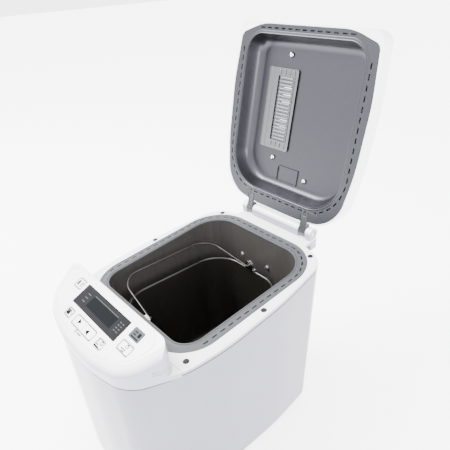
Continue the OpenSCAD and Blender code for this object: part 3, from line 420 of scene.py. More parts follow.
# ---- deck ----
# The white top moulding drops over the shell. It has a rounded outer edge, a recess for the grey
# ring, and a shelf at the back whose knuckles carry the lid.
mouth_corners = mirrored([(92, -101, 25), (92, 101, 41)])
ring_corners = mirrored([(107, -118, 49), (105, 116, 55)])
deck_edge = 3.5
edge_steps = 6
levels = [(inset(body_corners, 0.4), -6), (body_corners, -5.6)]
for k in range(edge_steps + 1):
    angle = math.pi / 2 * k / edge_steps
    levels.append((inset(body_corners, deck_edge * (1 - math.cos(angle))),
                   deck_edge * (math.sin(angle) - 1)))
deck = lofted(levels)
shelf = bmesh.new()
block(shelf, (-67.4, 115, -6), (67.4, 146, 0.2), 1.6)
deck = carved(deck, shelf, "UNION")
shelf = bmesh.new()
block(shelf, (-67.2, 132, -16), (67.2, 145, -4), 2.5)
deck = carved(deck, shelf, "UNION")
knuckles = bmesh.new()
for x, width in ((-44.6, 89.2), (57.4, 9), (-66.4, 9)):
    rod(knuckles, (x, hinge_back, hinge_rise), (x + width, hinge_back, hinge_rise), 8, corner=0.7)
deck = carved(deck, knuckles, "UNION")
webs = bmesh.new()
for x, width in ((-44.3, 88.6), (57.7, 8.4), (-66.1, 8.4)):
    block(webs, (x, 132.6, -2), (x + width, 145, hinge_rise), 0.4)
deck = carved(deck, webs, "UNION")
# It is cut back from the mouth, so that the ring's slots open into the gap behind the chamber
cut_back = 9.6
deck = carved(deck, lofted([(inset(mouth_corners, -cut_back), -8), (inset(mouth_corners, -cut_back), 2)]))
deck = carved(deck, lofted([(inset(ring_corners, -0.4), -2), (inset(ring_corners, -0.4), 3)]))
front_cut = bmesh.new()
block(front_cut, (-150, -220, -10), (150, -119.6, 10))
deck = carved(deck, front_cut)
plug_places = [(112.1, -1), (104.5, -108), (87.3, 108.5)]
plug_radius = 3.6
holes = bmesh.new()
for x, y in plug_places:
    for side in (-1, 1):
        rod(holes, (side * x, y, -4), (side * x, y, 4), plug_radius + 0.1)
rod(holes, (-80, hinge_back, hinge_rise), (80, hinge_back, hinge_rise), 3)
piece("deck_moulding", carved(deck, holes), on_deck, flank_shade_abs, "root", "deck_cover")

# Six bumpers of matt silicone rubber, pressed into the deck, take the lid's rim
plug_grey = moulded("grey_silicone_rubber", "#161719", "#202123", 0.6, 1, 0.02, Specular_IOR_Level=0.15)
plugs = bmesh.new()
for x, y in plug_places:
    for side in (-1, 1):
        rod(plugs, (side * x, y, -4), (side * x, y, 0.4), plug_radius, 32, 0.35)
piece("deck_bumpers", plugs, on_deck, plug_grey, "root", "deck_plugs")

# ---- ring round the chamber mouth ----
# A pressed ring in grey baked enamel, with a bead at its inner and outer edge and a row of short
# slots that let the hot air pass between the walls.
# Baked enamel hides the steel's lines and leaves a soft grey sheen
ring_grey = drawn_metal("grey_baked_enamel_steel", "#3E3F42", "#494A4D", 0.42, 0.55, 3, (1, 1, 1), 0.2,
                        Specular_IOR_Level=0.3)
slot_length = 7
slot_width = 1.8
slot_pitch = 12.2


def slots_round(corners, z, height, keep):
    """Cutters in an even row round an outline, symmetrical about its front, where keep says"""
    guide = bmesh.new()
    path = [v.co.copy() for v in rounded_face(guide, corners, 0).verts]
    guide.free()
    first = max(range(len(path)), key=lambda i: path[i].x - 4 * path[i].y)
    path = path[first:] + path[:first]
    steps = [(b - a).length for a, b in zip(path, path[1:] + path[:1])]
    count = round(sum(steps) / slot_pitch)
    tool = bmesh.new()
    for k in range(count):
        left = (k + 0.5) * sum(steps) / count - steps[-1] / 2
        i = 0 if left >= 0 else -1
        left = left if left >= 0 else left + steps[-1]
        while left > steps[i]:
            left -= steps[i]
            i += 1
        way = path[(i + 1) % len(path)] - path[i]
        middle = path[i] + way.normalized() * left
        if keep(middle.x, middle.y):
            made = bmesh.ops.create_cube(tool, size=1)["verts"]
            bmesh.ops.scale(tool, vec=(slot_length, slot_width, height), verts=made)
            turn = Matrix.Rotation(math.atan2(way.y, way.x), 3, "Z")
            bmesh.ops.rotate(tool, matrix=turn, verts=made)
            bmesh.ops.translate(tool, vec=(middle.x, middle.y, z), verts=made)
    return tool


bead = 0.6
ring = lofted([(ring_corners, -1.8), (ring_corners, 0.4), (inset(ring_corners, 0.4), bead),
               (inset(ring_corners, 1.6), bead), (inset(ring_corners, 2.2), 0.1),
               (inset(mouth_corners, -4.4), 0.1), (inset(mouth_corners, -3.8), 0.45),
               (inset(mouth_corners, -3.2), bead), (inset(mouth_corners, -2.4), 0.45),
               (inset(mouth_corners, -2), -0.2), (inset(mouth_corners, -1.4), -0.2),
               (inset(mouth_corners, -1), 0.45), (inset(mouth_corners, -0.4), bead),
               (inset(mouth_corners, 0.2), 0.45), (inset(mouth_corners, 0.6), 0),
               (inset(mouth_corners, 0.6), -1.8)], ring=True)
slot_inset = -8
ring_slots = slots_round(inset(mouth_corners, slot_inset), 0, 5,
                         lambda x, y: y > -88 and (y > 0 or abs(x) > 90))
piece("chamber_ring", carved(ring, ring_slots), on_deck, ring_grey, "root", "chamber_flange")

# ---- baking chamber ----
# A folded and seamed box in dark enamelled steel, upright inside the body, with its mouth cut to
# the deck's slope. The heater lies round its foot in four clips.
# Thin enamel over rolled steel: dark, with the lines of the rolling showing through
chamber_dark = drawn_metal("dark_enamelled_steel", "#383634", "#464442", 0.34, 0.5, 3, (1, 1, 0.08), 0.4,
                            Specular_IOR_Level=0.3)
chamber_floor = 40
plan_corners = mirrored([(92, -100.33, 25), (92, 100.33, 41)])
mouth_level = -1.9
chamber = lofted([(inset(plan_corners, 4), chamber_floor),
                  (inset(plan_corners, 1.2), chamber_floor + 1.2),
                  (plan_corners, chamber_floor + 4),
                  (mouth_corners, mouth_level, to_deck),
                  (inset(mouth_corners, -1), mouth_level, to_deck),
                  (inset(plan_corners, -1), chamber_floor + 4),
                  (inset(plan_corners, 0.4), chamber_floor),
                  (inset(plan_corners, 4), chamber_floor - 1)])
piece("oven_walls", chamber, upright, chamber_dark, "root", "oven_chamber")
# The heater's sheath is dulled by heat
dress(drawn_metal("incoloy_heater_sheath", "#4A4743", "#605C57", 0.4, 0.6, 2, (1, 1, 1)), "heater_element")
# Sand-cast aluminium shows the grain of its mould
cast_alloy = drawn_metal("sand_cast_aluminium", "#8E8F91", "#B2B3B5", 0.42, 0.62, 1.2, (1, 1, 1))
dress(cast_alloy, "pan_socket", "pan_base_ring", "motor_body")

# ---- key panel housing ----
# A D-shaped white moulding stands on the front of the deck. Its face slopes down to the front, its
# front edge is rolled over, and its back is an upright wall that faces the chamber.
panel_back = -120               # back edge of the panel, and its height above the deck
panel_rise = 38
panel_slope = math.radians(18)
on_panel = (on_deck @ Matrix.Translation((0, panel_back, panel_rise))
            @ Matrix.Rotation(panel_slope, 4, "X"))
# Runs on behind the back wall, where it is cut off
panel_corners = mirrored([(32, -186, 140), (88, -173.5, 45), (123.7, -100, 3)])
roll_depth = 12
roll_width = 9
sloped = Matrix.Identity(4)
sloped[2][1] = math.tan(panel_slope)
sloped[2][3] = panel_rise - math.tan(panel_slope) * panel_back


def panel_skin(wall):
    """The housing's levels: upright to the roll, then a quarter of an ellipse up to the face"""
    levels = [(inset(panel_corners, 0.5 + wall), -6 if wall == 0 else -7)]
    levels.append((inset(panel_corners, wall), -roll_depth, sloped))
    for k in range(1, 9):
        angle = math.pi / 2 * k / 8
        levels.append((inset(panel_corners, wall + roll_width * (1 - math.cos(angle))),
                       roll_depth * (math.sin(angle) - 1) - wall, sloped))
    return levels


def bar_corners(x, y, width, depth, radius):
    """Corners of a rounded rectangle about a point"""
    w, d = width / 2, depth / 2
    return [(x + w, y - d, radius), (x + w, y + d, radius), (x - w, y + d, radius),
            (x - w, y - d, radius)]


def joined(shapes):
    """Several bmeshes as one"""
    bm = bmesh.new()
    for shape in shapes:
        mesh = bpy.data.meshes.new("shape")
        shape.to_mesh(mesh)
        shape.free()
        bm.from_mesh(mesh)
        bpy.data.meshes.remove(mesh)
    return bm


def prism(corners, low, high, edge=0.0):
    """A rounded outline raised from low to high, with its top edge eased"""
    levels = [(corners, low), (corners, high - edge)]
    if edge:
        levels += [(inset(corners, edge * 0.3), high - edge * 0.3), (inset(corners, edge), high)]
    return lofted(levels)


housing = lofted(panel_skin(0))
hollow = lofted(panel_skin(shell_wall))
for solid, cut in ((housing, panel_back), (hollow, panel_back - shell_wall)):
    bmesh.ops.bisect_plane(solid, geom=solid.verts[:] + solid.edges[:] + solid.faces[:],
                           plane_co=(0, cut, 0), plane_no=(0, 1, 0), clear_outer=True)
    open_edges = [e for e in solid.edges if len(e.link_faces) == 1]
    bmesh.ops.edgeloop_fill(solid, edges=open_edges)
back_rim = [e for e in housing.edges if all(v.co.y > panel_back - 0.001 for v in e.verts)
            and any(v.co.z > -5 for v in e.verts)]
bmesh.ops.bevel(housing, geom=back_rim, offset=0.7, segments=3, profile=0.5, affect="EDGES",
                material=-1)
# Both ends of the back edge are rounded off, down to a flat that runs on from the deck
tip_corners = mirrored([(32, -190, 140), (90.4, -177.5, 45), (116, panel_back + 0.1, 18)])
standing = carved(prism(tip_corners, -0.01, 60), prism(bar_corners(0, -160, 300, 100, 1), -20, 0),
                  "UNION")
housing = carved(housing, standing, "INTERSECT")
hollow = carved(hollow, prism(inset(tip_corners, shell_wall + 0.8), -20, 60), "INTERSECT")
housing = carved(housing, hollow)
side_slots = bmesh.new()
for z in (6.4, 10):
    block(side_slots, (98.5, -146, z), (140, -128, z + 1.7), 0.6)
housing = carved(housing, side_slots)

# Keys: x, y down the slope, width, depth
key_rows = {"menu": (-61.5, -17, 16, 13), "loaf": (-36, -48.5, 14, 11),
            "down": (-10.8, -48.5, 20.4, 10.5), "up": (10.8, -48.5, 20.4, 10.5),
            "crust": (36.5, -48.5, 14, 11), "start": (67, -33.3, 21, 12.5),
            "program": (66, -16.2, 18, 12)}
window_row = (0, -23.9, 97, 27)


def key_cuts(low, high, gap):
    return [prism(bar_corners(x, y, w + 2 * gap, d + 2 * gap, 2), low, high)
            for x, y, w, d in key_rows.values()]


to_panel = on_deck.inverted() @ on_panel
key_gap = 0.4
cuts = joined(key_cuts(-6, 6, key_gap) + [prism(bar_corners(*window_row[:2], 93, 23, 1.5), -6, 6)])
cuts.transform(to_panel)
piece("panel_moulding", carved(housing, cuts), on_deck, flank_shade_abs, "root", "panel_housing")

# ---- key panel film ----
# A printed polycarbonate film with an eased edge lies on the slope. The keys stand in its cuts,
# each with its own printed sign.
film_top = 0.8
# Polycarbonate film has a fine velvet texture, which breaks up its shine
panel_film = moulded("white_polycarbonate_film", "#F0F0F2", "#F6F6F8", 0.34, 1.2, 0.008)
film_corners = mirrored([(31, -59.4, 40), (81.2, -47.6, 35.5), (99.6, -2.6, 15)])
film_cuts = key_cuts(-1, 2, key_gap)
film_cuts.append(prism(bar_corners(*window_row[:2], 97.4, 27.4, 1.5), -1, 2))
film = carved(prism(film_corners, 0, film_top, 0.3), joined(film_cuts))
piece("panel_film", film, on_panel, panel_film, "root", "panel_overlay")

# ---- display ----
# A smoked acrylic window with a darker liquid-crystal pane behind it, and a few faint marks
# printed beside the pane in place of the programme names.
# Smoked acrylic is dark all through, and this one is etched against glare
smoked_acrylic = moulded("smoked_acrylic", "#161618", "#1B1B1D", 0.55, 6, 0.004, Specular_IOR_Level=0.04)
piece("smoked_window", prism(bar_corners(*window_row, 1.5), 0.02, 0.7, 0.2), on_panel, smoked_acrylic,
      "root", "display_window")
# The pane's polariser is matt and almost black while the display is off
lcd_glass = moulded("dark_lcd_glass", "#0F1113", "#15181A", 0.5, 8, 0.002, Specular_IOR_Level=0.01)
piece("lcd_pane", prism(bar_corners(2.2, -24.2, 54.4, 14, 0.6), 0.6, 0.74, 0.02), on_panel, lcd_glass,
      "root", slot="display_grey")
# A grey ink only a little lighter than the window
faint_ink = moulded("faint_grey_ink", "#444446", "#4C4C4E", 0.5, 1, 0.004, Specular_IOR_Level=0.1)
marks = [prism(bar_corners(2.2, -15.9, 52, 0.5, 0.2), 0.6, 0.73)]
marks += [prism(bar_corners(36.5 + 5.2 * k, y, 3, 0.8, 0.3), 0.6, 0.73)
          for k in range(2) for y in (-18, -21.5, -25, -28.5)]
marks += [prism(bar_corners(-34, y, 6, 0.8, 0.3), 0.6, 0.73) for y in (-19, -24, -29)]
piece("display_marks", joined(marks), on_panel, faint_ink, "root", slot="display_grey")
dress(lcd_glass, "lcd_module")

# ---- keys ----
# Seven caps in the film's own material stand flush in it and travel 0.8 mm. Each has a sign in
# black ink: bars, a loaf, triangles, a crust, a ring for start, and a picture on a grey patch.
# Screen inks are matt and even
black_ink = moulded("black_screen_ink", "#08080A", "#0E0E10", 0.6, 1, 0.004, Specular_IOR_Level=0.05)
grey_ink = moulded("grey_screen_ink", "#3C3E40", "#4C4D4F", 0.5, 4, 0.004, Specular_IOR_Level=0.1)
ink_low = 0.74
ink_high = 0.84


def disc(x, y, radius, sides=24, turn=0.0, inner=0.0):
    """A printed disc, ring or triangle"""
    bm = bmesh.new()
    place = Matrix.Translation((x, y, ink_low)) @ Matrix.Rotation(turn, 4, "Z")
    rim = bmesh.ops.create_circle(bm, segments=sides, radius=radius, matrix=place, cap_ends=not inner)
    if inner:
        hole = bmesh.ops.create_circle(bm, segments=sides, radius=inner, matrix=place)
        bmesh.ops.bridge_loops(bm, edges=list({e for v in rim["verts"] + hole["verts"]
                                               for e in v.link_edges}))
    risen = bmesh.ops.extrude_face_region(bm, geom=bm.faces[:])["geom"]
    bmesh.ops.translate(bm, vec=(0, 0, ink_high - ink_low),
                        verts=[v for v in risen if isinstance(v, bmesh.types.BMVert)])
    bmesh.ops.recalc_face_normals(bm, faces=bm.faces)
    return bm


def bar(x, y, width, depth, radius=0.2):
    return prism(bar_corners(x, y, width, depth, radius), ink_low, ink_high)


def outline_print(x, y, width, depth, radius, line=0.95):
    """A printed outline: a rounded rectangle with its middle left clear"""
    outer = bar_corners(x, y, width, depth, radius)
    return lofted([(outer, ink_low), (outer, ink_high), (inset(outer, line), ink_high),
                   (inset(outer, line), ink_low)], ring=True)


quarter = math.pi / 2
signs = {
    "menu": lambda x, y: [bar(x - 3.4, y, 3.6, 6.4), bar(x + 3, y + 2.2, 5, 1.2),
                          bar(x + 3, y, 5, 1.2), bar(x + 3, y - 2.2, 5, 1.2)],
    "loaf": lambda x, y: [bar(x - 2, y - 1, 6.6, 4.4, 1.2), bar(x - 2, y + 2.3, 8, 2, 0.9),
                          disc(x + 4.4, y, 1.7, inner=0.9)],
    "down": lambda x, y: [disc(x - 1.2, y + 0.9, 4, 3, -quarter)],
    "up": lambda x, y: [disc(x - 1.1, y - 0.8, 4, 3, quarter)],
    "crust": lambda x, y: [disc(x + 1.8, y + 1.8, 2.6, inner=1.5), bar(x - 3, y - 1.6, 5, 1.3, 0.4),
                           bar(x - 1.4, y - 3.6, 8.5, 1.1), bar(x - 4.4, y + 1.8, 1.2, 3.6, 0.3)],
    "start": lambda x, y: [disc(x + 1.4, y + 2.4, 2.4, inner=1.4), bar(x + 1.4, y + 4, 1, 2),
                           bar(x - 1, y - 2, 8, 1.2), bar(x - 0.4, y - 4.1, 4.6, 1.2)],
    "program": lambda x, y: [bar(x + 4, y + 1, 4, 5, 0.8), bar(x - 2.6, y + 2.2, 6, 1.3),
                             bar(x - 3, y - 0.8, 5, 1.3), bar(x, y - 4, 13, 1.5, 0.4)]}
for name, (x, y, width, depth) in key_rows.items():
    cap = prism(bar_corners(x, y, width, depth, 1.7), -1.6, film_top, 0.25)
    stem = bmesh.new()
    rod(stem, (x, y, -4.2), (x, y, -1.5), 2, 24)
    cap_ink = grey_ink if name == "program" else panel_film
    piece(name + "_cap", joined([cap, stem]), on_panel, cap_ink, name + "_key", name + "_key")
    printed = signs[name](x, y)
    if name not in ("up", "down", "program"):
        printed.append(outline_print(x, y, width - 0.8, depth - 0.8, 1.4))
    piece(name + "_sign", joined(printed), on_panel, black_ink, name + "_key", slot="display_grey")

# A thin frame is printed round the two arrow keys as a pair, with a clock below them
clock = [disc(-5, -57.2, 2, inner=1.1), bar(-5, -56.8, 0.6, 1.3, 0.1), bar(-4.6, -57.2, 1.1, 0.6, 0.1),
         bar(2.4, -57.4, 9, 1.5, 0.6)]
pair = outline_print(0, -48.5, 45.2, 13.6, 2.8)
piece("panel_print", joined([pair] + clock), on_panel, grey_ink, "root", slot="display_grey")

# ---- hinge ----
# Two grey arms come out of the lid's rim and turn on steel pins in the deck's knuckles. Each has
# two raised ribs that run on over the liner and turn outwards.
lid_open_angle = math.radians(joints["lid_hinge"]["range_deg"][0])
on_lid = (Matrix.Translation(hinge_at) @ Matrix.Rotation(deck_tilt + lid_open_angle, 4, "X") @ mm
          @ Matrix.Translation((0, -hinge_back, -hinge_rise)))
# Zinc casting with a grey lacquer: a dull metallic sheen
arm_grey = drawn_metal("grey_cast_zinc", "#3A3B3E", "#46474A", 0.25, 0.4, 2, (1, 1, 1), 0.7)
arm_edge_x = (45, 57)
pins = bmesh.new()
rod(pins, (-90, hinge_back, hinge_rise), (90, hinge_back, hinge_rise), 3.05)
lugs = bmesh.new()
eyes = bmesh.new()
ribs = bmesh.new()
feet = bmesh.new()
for side in (-1, 1):
    low, high = sorted(side * x for x in arm_edge_x)
    block(lugs, (low, 117.9, 1.2), (high, 140, 9.2), 1)
    rod(eyes, (low, hinge_back, hinge_rise), (high, hinge_back, hinge_rise), 7, corner=0.8)
    for x, start in ((46.8, 106.5), (53.6, 110)):
        low, high = sorted((side * x, side * (x + 1.9)))
        block(ribs, (low, start, 0.72), (high, 137, 1.9), 0.4)
    low, high = sorted((side * 54.6, side * 70))
    block(feet, (low, 109.6, 0.72), (high, 111.4, 1.2), 0.2)
    rod(feet, (side * 70.4, 110.5, 0.72), (side * 70.4, 110.5, 1.2), 1.8, 20, 0.2)
arms = carved(carved(carved(lugs, eyes, "UNION"), ribs, "UNION"), pins)
arms = joined([arms, feet])
piece("lid_arms", arms, on_lid, arm_grey, "lid", "hinge_arms")

# ---- lid shell ----
# A deep white ABS cover, 2.5 mm thick, with full round shoulders and a flat crown. Steam leaves
# by a row of slots over the vent, and the hinge arms pass through its back wall.
lid_corners = mirrored([(114, -118.7, 14), (119, -38.7, 260), (116, 45, 200),
                        (103, 120.5, 46), (40, 128.5, 150)])
lid_rim = 1.2
shoulder_foot = 14.2
shoulder_width = 52
shoulder_height = 25


def shoulder(wall):
    """Levels of the lid's shoulder, which is fuller than a quarter of an ellipse"""
    levels = []
    for inward in (0, 0.8, 2.5, 5.5, 10, 16, 25, 36, shoulder_width):
        rise = (1 - (1 - inward / shoulder_width) ** 2.3) ** (1 / 2.3) * shoulder_height
        levels.append((inset(lid_corners, inward + wall), shoulder_foot + rise - wall))
    return levels


outside = [(inset(lid_corners, 0.5), lid_rim), (lid_corners, lid_rim + 0.5)] + shoulder(0)
inside = [(inset(lid_corners, shell_wall), lid_rim)] + shoulder(shell_wall)
lid = lofted(inside[::-1] + outside)
gaps = bmesh.new()
for side in (-1, 1):
    low, high = sorted(side * x for x in (44.5, 57.5))
    block(gaps, (low, 114, -2), (high, 134, 9.9))
for k in range(-3, 4):
    block(gaps, (-52, k * 9 - 10, 31), (-12, k * 9 - 7, 50), 1.4)
piece("lid_cover", carved(lid, gaps), on_lid, white_abs, "lid", "lid_shell")
# A flat web inside the rim closes the corners that the liner leaves
liner_corners = mirrored([(72, -116.7, 80), (111.0, -102.7, 10), (116.0, -38.7, 200), (113, 45, 200),
                          (100, 119.5, 48), (40, 127.5, 150)])
web = carved(prism(inset(lid_corners, shell_wall - 0.1), lid_rim + 0.2, lid_rim + 1.4),
             prism(inset(liner_corners, -0.2), lid_rim - 1, lid_rim + 3))
piece("lid_rim_web", web, on_lid, white_abs, "lid", slot="white_plastic")

# ---- lid handle ----
# A grip in the same white ABS is bonded across the lid's front edge and stands proud of the crown.
grip = lofted([(bar_corners(0, -103.5, 191, 20, 6), 26), (bar_corners(0, -104.2, 191, 24, 8), 33),
               (bar_corners(0, -104.3, 188, 25.6, 9), 39), (bar_corners(0, -104.3, 182, 23, 9), 42.6),
               (bar_corners(0, -104.3, 174, 16, 7), 44.1)])
grip = carved(grip, lofted([(inset(lid_corners, 3), 20)] + shoulder(0)[1:]))
piece("lid_grip", grip, on_lid, white_abs, "lid", "lid_handle")

# ---- lid liner ----
# One sheet of satin anodised aluminium, drawn into a dish with a double lip round its mouth. Slots
# pass the air outside the lip, and a shallow square is embossed near the hinge.
# Satin anodising gives an even sheen with broad soft reflections in the dish's curves
liner_metal = drawn_metal("satin_anodised_aluminium", "#3A3A3F", "#424247", 0.28, 0.38, 1.2, (1, 1, 1),
                          0.95)
dish_corners = mirrored([(98.5, -105, 27), (98.5, 106, 51)])
liner_base = lid_rim
sheet = 1


def dish_levels():
    """The liner's face, from the flange over the two lips to the dish's floor"""
    levels = [(inset(dish_corners, -3.2), 0), (inset(dish_corners, -2.6), -0.55),
              (inset(dish_corners, -1.9), -0.7), (inset(dish_corners, -1.2), -0.5),
              (inset(dish_corners, -0.7), 0), (inset(dish_corners, -0.1), 0.1),
              (inset(dish_corners, 0.3), -0.2), (inset(dish_corners, 0.8), -0.35),
              (inset(dish_corners, 1.3), -0.15), (inset(dish_corners, 1.8), 1.2),
              (inset(dish_corners, 2.6), 4), (inset(dish_corners, 4.4), 10),
              (inset(dish_corners, 6.4), 15), (inset(dish_corners, 8), 17.9),
              (inset(dish_corners, 10.4), 20.1), (inset(dish_corners, 14), 21.6),
              (inset(dish_corners, 18), 22)]
    return [(corners, liner_base + z) for corners, z in levels]


front = dish_levels()


def flange_loops(bm, z):
    """The flange's outer and inner edges, bridged flat"""
    outer = rounded_face(bm, liner_corners, z + loft_spread)
    outer_edges = list(outer.edges)
    outer_points = list(outer.verts)
    bmesh.ops.delete(bm, geom=[outer], context="FACES_ONLY")
    inner = rounded_face(bm, front[0][0], z)
    inner_edges = list(inner.edges)
    bmesh.ops.delete(bm, geom=[inner], context="FACES_ONLY")
    bmesh.ops.bridge_loops(bm, edges=outer_edges + inner_edges)
    bmesh.ops.translate(bm, vec=(0, 0, -loft_spread), verts=outer_points)


liner = lofted(front, caps=False)
last_loop = [e for e in liner.edges if len(e.link_faces) == 1
             and all(v.co.z > liner_base + 21 for v in e.verts)]
bmesh.ops.edgeloop_fill(liner, edges=last_loop)
flange_loops(liner, liner_base)
bmesh.ops.remove_doubles(liner, verts=liner.verts, dist=0.001)
bmesh.ops.recalc_face_normals(liner, faces=liner.faces)
if max(liner.faces, key=lambda f: f.calc_area()).normal.z > 0:
    bmesh.ops.reverse_faces(liner, faces=liner.faces)
# The sheet is thickened upwards, away from the face that is seen
bmesh.ops.solidify(liner, geom=liner.faces[:], thickness=sheet)
bmesh.ops.recalc_face_normals(liner, faces=liner.faces)
liner_slot_inset = -6.2
liner_slots = slots_round(inset(dish_corners, liner_slot_inset), liner_base, 6,
                          lambda x, y: (abs(x) < 80 if y < 0 else y > 0) or (-83 < y and abs(x) > 90))
liner = carved(liner, liner_slots)
holes = bmesh.new()
screw_places = [(-33, -81), (-40, 61), (23.5, 80)]
for x, y in screw_places:
    rod(holes, (x, y, 10), (x, y, 30), 1.7, 24)
for side in (-1, 1):
    low, high = sorted(side * x for x in (44.7, 57.3))
    block(holes, (low, 117.5, -2), (high, 134, 8))
rib_field = Vector((-35.5, -8.5, 0))          # middle of the vent's ribs
rib_reach = Vector((16.1, 45.9, 0))
block(holes, rib_field - rib_reach + Vector((0, 0, 15)), rib_field + rib_reach + Vector((0, 0, 30)), 0.8)
liner = carved(liner, holes)
# Embossed outline of the square: a fine raised bead
bead = carved(prism(bar_corners(-8, 80, 38, 22, 1.5), 21.7, 22.6),
              prism(bar_corners(-8, 80, 36.4, 20.4, 1), 21, 24))
liner = carved(liner, bead, "UNION")
piece("liner_dish", liner, on_lid, liner_metal, "lid", "lid_liner")

# ---- steam vent ----
# A flat frame of brighter rolled aluminium with a wide left margin, held by four bent tabs at each
# end, over a pressed grille of eighteen ribs.
# Rolled aluminium left bare is brighter than the liner round it
vent_metal = drawn_metal("bright_rolled_aluminium", "#5C5C60", "#68686C", 0.26, 0.34, 4, (1, 1, 1))
frame_z = 20.9
vent_frame = carved(prism(bar_corners(-41, -7.5, 53, 111, 3), frame_z, frame_z + 1.2),
                    prism(bar_corners(-35.5, -8.5, 28.5, 88, 1), frame_z - 3, frame_z + 4))
lips = bmesh.new()
block(lips, (-21.2, -53.2, frame_z - 1), (-19.6, 36.2, frame_z + 0.8), 0.5)
block(lips, (-67.2, -62.5, frame_z - 0.6), (-66.2, 47.5, frame_z + 0.8), 0.4)
block(lips, (-59.2, -62.3, frame_z - 0.4), (-58.4, 47.3, frame_z + 0.8), 0.3)
vent_frame = carved(vent_frame, lips, "UNION")
tabs = bmesh.new()
for end in (-57.6, 41.2):
    for k in range(4):
        x = -49 + 8.4 * k
        block(tabs, (x, end - 3.2, frame_z - 1.3), (x + 3.4, end + 3.2, frame_z + 0.9), 1)
vent_frame = carved(vent_frame, tabs, "UNION")
piece("vent_surround", vent_frame, on_lid, vent_metal, "lid", "vent_frame")

rib_count = 18
rib_pitch = 88 / rib_count
grille = bmesh.new()
block(grille, (-50.8, -53.6, 22.9), (-20.2, 36.6, 25.2), 0.5)
ribs = bmesh.new()
for k in range(rib_count):
    y = rib_field.y + (k - (rib_count - 1) / 2) * rib_pitch
    rod(ribs, (-46.5, y, 22.9), (-23.5, y, 22.9), 1.15, 20, 0.8)
grille = carved(grille, ribs, "UNION")
eyes = bmesh.new()
for k in range(rib_count):
    y = rib_field.y + (k - (rib_count - 1) / 2) * rib_pitch
    rod(eyes, (-48.6, y, 22.2), (-48.6, y, 23.5), 0.9, 16, 0.3)
grille = carved(grille, eyes, "UNION")
openings = bmesh.new()
for k in range(rib_count - 1):
    y = rib_field.y + (k + 1 - rib_count / 2) * rib_pitch
    block(openings, (-45.5, y - 0.35, 20), (-24.5, y + 0.35, 28))
piece("vent_grille", carved(grille, openings), on_lid, vent_metal, "lid", "vent_ribs")

# ---- liner screws ----
# Three dome-headed screws with bright chromed heads hold the liner to the lid.
heads = bmesh.new()
for x, y in screw_places:
    ball = bmesh.ops.create_uvsphere(heads, u_segments=32, v_segments=16, radius=3.6)["verts"]
    bmesh.ops.scale(heads, vec=(1, 1, 0.78), verts=ball)
    placed = set(ball)
    ball_edges = [e for e in heads.edges if e.verts[0] in placed]
    ball_faces = [f for f in heads.faces if f.verts[0] in placed]
    bmesh.ops.bisect_plane(heads, geom=ball + ball_edges + ball_faces, plane_co=(0, 0, 0),
                           plane_no=(0, 0, 1), clear_outer=True)
    half = [v for v in heads.verts if abs(v.co.x) < 4 and abs(v.co.y) < 4]
    bmesh.ops.edgeloop_fill(heads, edges=[e for e in heads.edges if len(e.link_faces) == 1])
    bmesh.ops.translate(heads, vec=(x, y, 22.2), verts=half)
shanks = bmesh.new()
for x, y in screw_places:
    rod(shanks, (x, y, 22), (x, y, 30), 1.5, 24)
piece("dome_screws", carved(heads, shanks, "UNION"), on_lid, bright_steel, "lid", "liner_screws")
# Mineral wool behind the liner: matt, loose and straw-coloured
dress(moulded("needled_mineral_wool", "#A39A76", "#C6BC94", 0.95, 2.5, 0.6), "lid_pad")

# ---- bread pan ----
# A deep-drawn aluminium pan with a rolled rim, coated inside and out with dark non-stick enamel
# that is sprayed on and baked, so it has a fine orange peel.
pan_y = joints["bail_swing"]["pos_m"][1] * 1000
on_pan = mm @ Matrix.Translation((0, pan_y, 0))
nonstick = moulded("baked_nonstick_enamel", "#100F0D", "#191714", 0.3, 0.9, 0.012)
pan_corners = mirrored([(65.5, -85.5, 38), (65.5, 85.5, 38)])
pan_foot = 53.5
rim_top = 189
pan_draft = 3
pan_wall = 2
roll_radius = 2.5
# The rolled rim is part of a circle, from under its outer side over to the inside
rim_levels = []
for k in range(9):
    angle = math.pi * (k / 8 * 1.35 - 0.35)
    rim_levels.append((inset(pan_corners, -3.4 - roll_radius * math.cos(angle)),
                       rim_top - roll_radius + roll_radius * math.sin(angle)))
pan_outside = [(inset(pan_corners, pan_draft + 5), pan_foot),
               (inset(pan_corners, pan_draft + 2.4), pan_foot + 0.6),
               (inset(pan_corners, pan_draft + 0.4), pan_foot + 2.6),
               (inset(pan_corners, pan_draft - 1.4), pan_foot + 6),
               (inset(pan_corners, pan_draft - pan_wall), pan_foot + 9),
               (inset(pan_corners, -pan_wall), rim_top - 4)]
pan_inside = [(inset(pan_corners, -0.3), rim_top - 1.4),
              (pan_corners, rim_top - 3),
              (inset(pan_corners, pan_draft), pan_foot + 10),
              (inset(pan_corners, pan_draft + 1), pan_foot + 6.4),
              (inset(pan_corners, pan_draft + 3), pan_foot + 3.6),
              (inset(pan_corners, pan_draft + 6), pan_foot + 2)]
pan = lofted(pan_outside + rim_levels + pan_inside)
bush_hole = bmesh.new()
rod(bush_hole, (0, 0, 45), (0, 0, 70), 8)
piece("pan_body", carved(pan, bush_hole), on_pan, nonstick, "pan", "bread_pan")
# A lighter metal strip along the rolled edge is a painted highlight on the rim
rim_highlight_metal = drawn_metal("worn_rim_aluminium", "#1E1D1B", "#302E2B", 0.3, 0.44, 2, (1, 1, 1))
rim = lofted([(inset(pan_corners, -2.2), rim_top - 0.15), (inset(pan_corners, -2.2), rim_top + 0.12),
              (inset(pan_corners, -3.2), rim_top + 0.22), (inset(pan_corners, -4.2), rim_top + 0.12),
              (inset(pan_corners, -4.2), rim_top - 0.15)], ring=True)
piece("pan_rim_wear", rim, on_pan, rim_highlight_metal, "pan", slot="bright_steel")
dress(nonstick, "kneading_paddle")

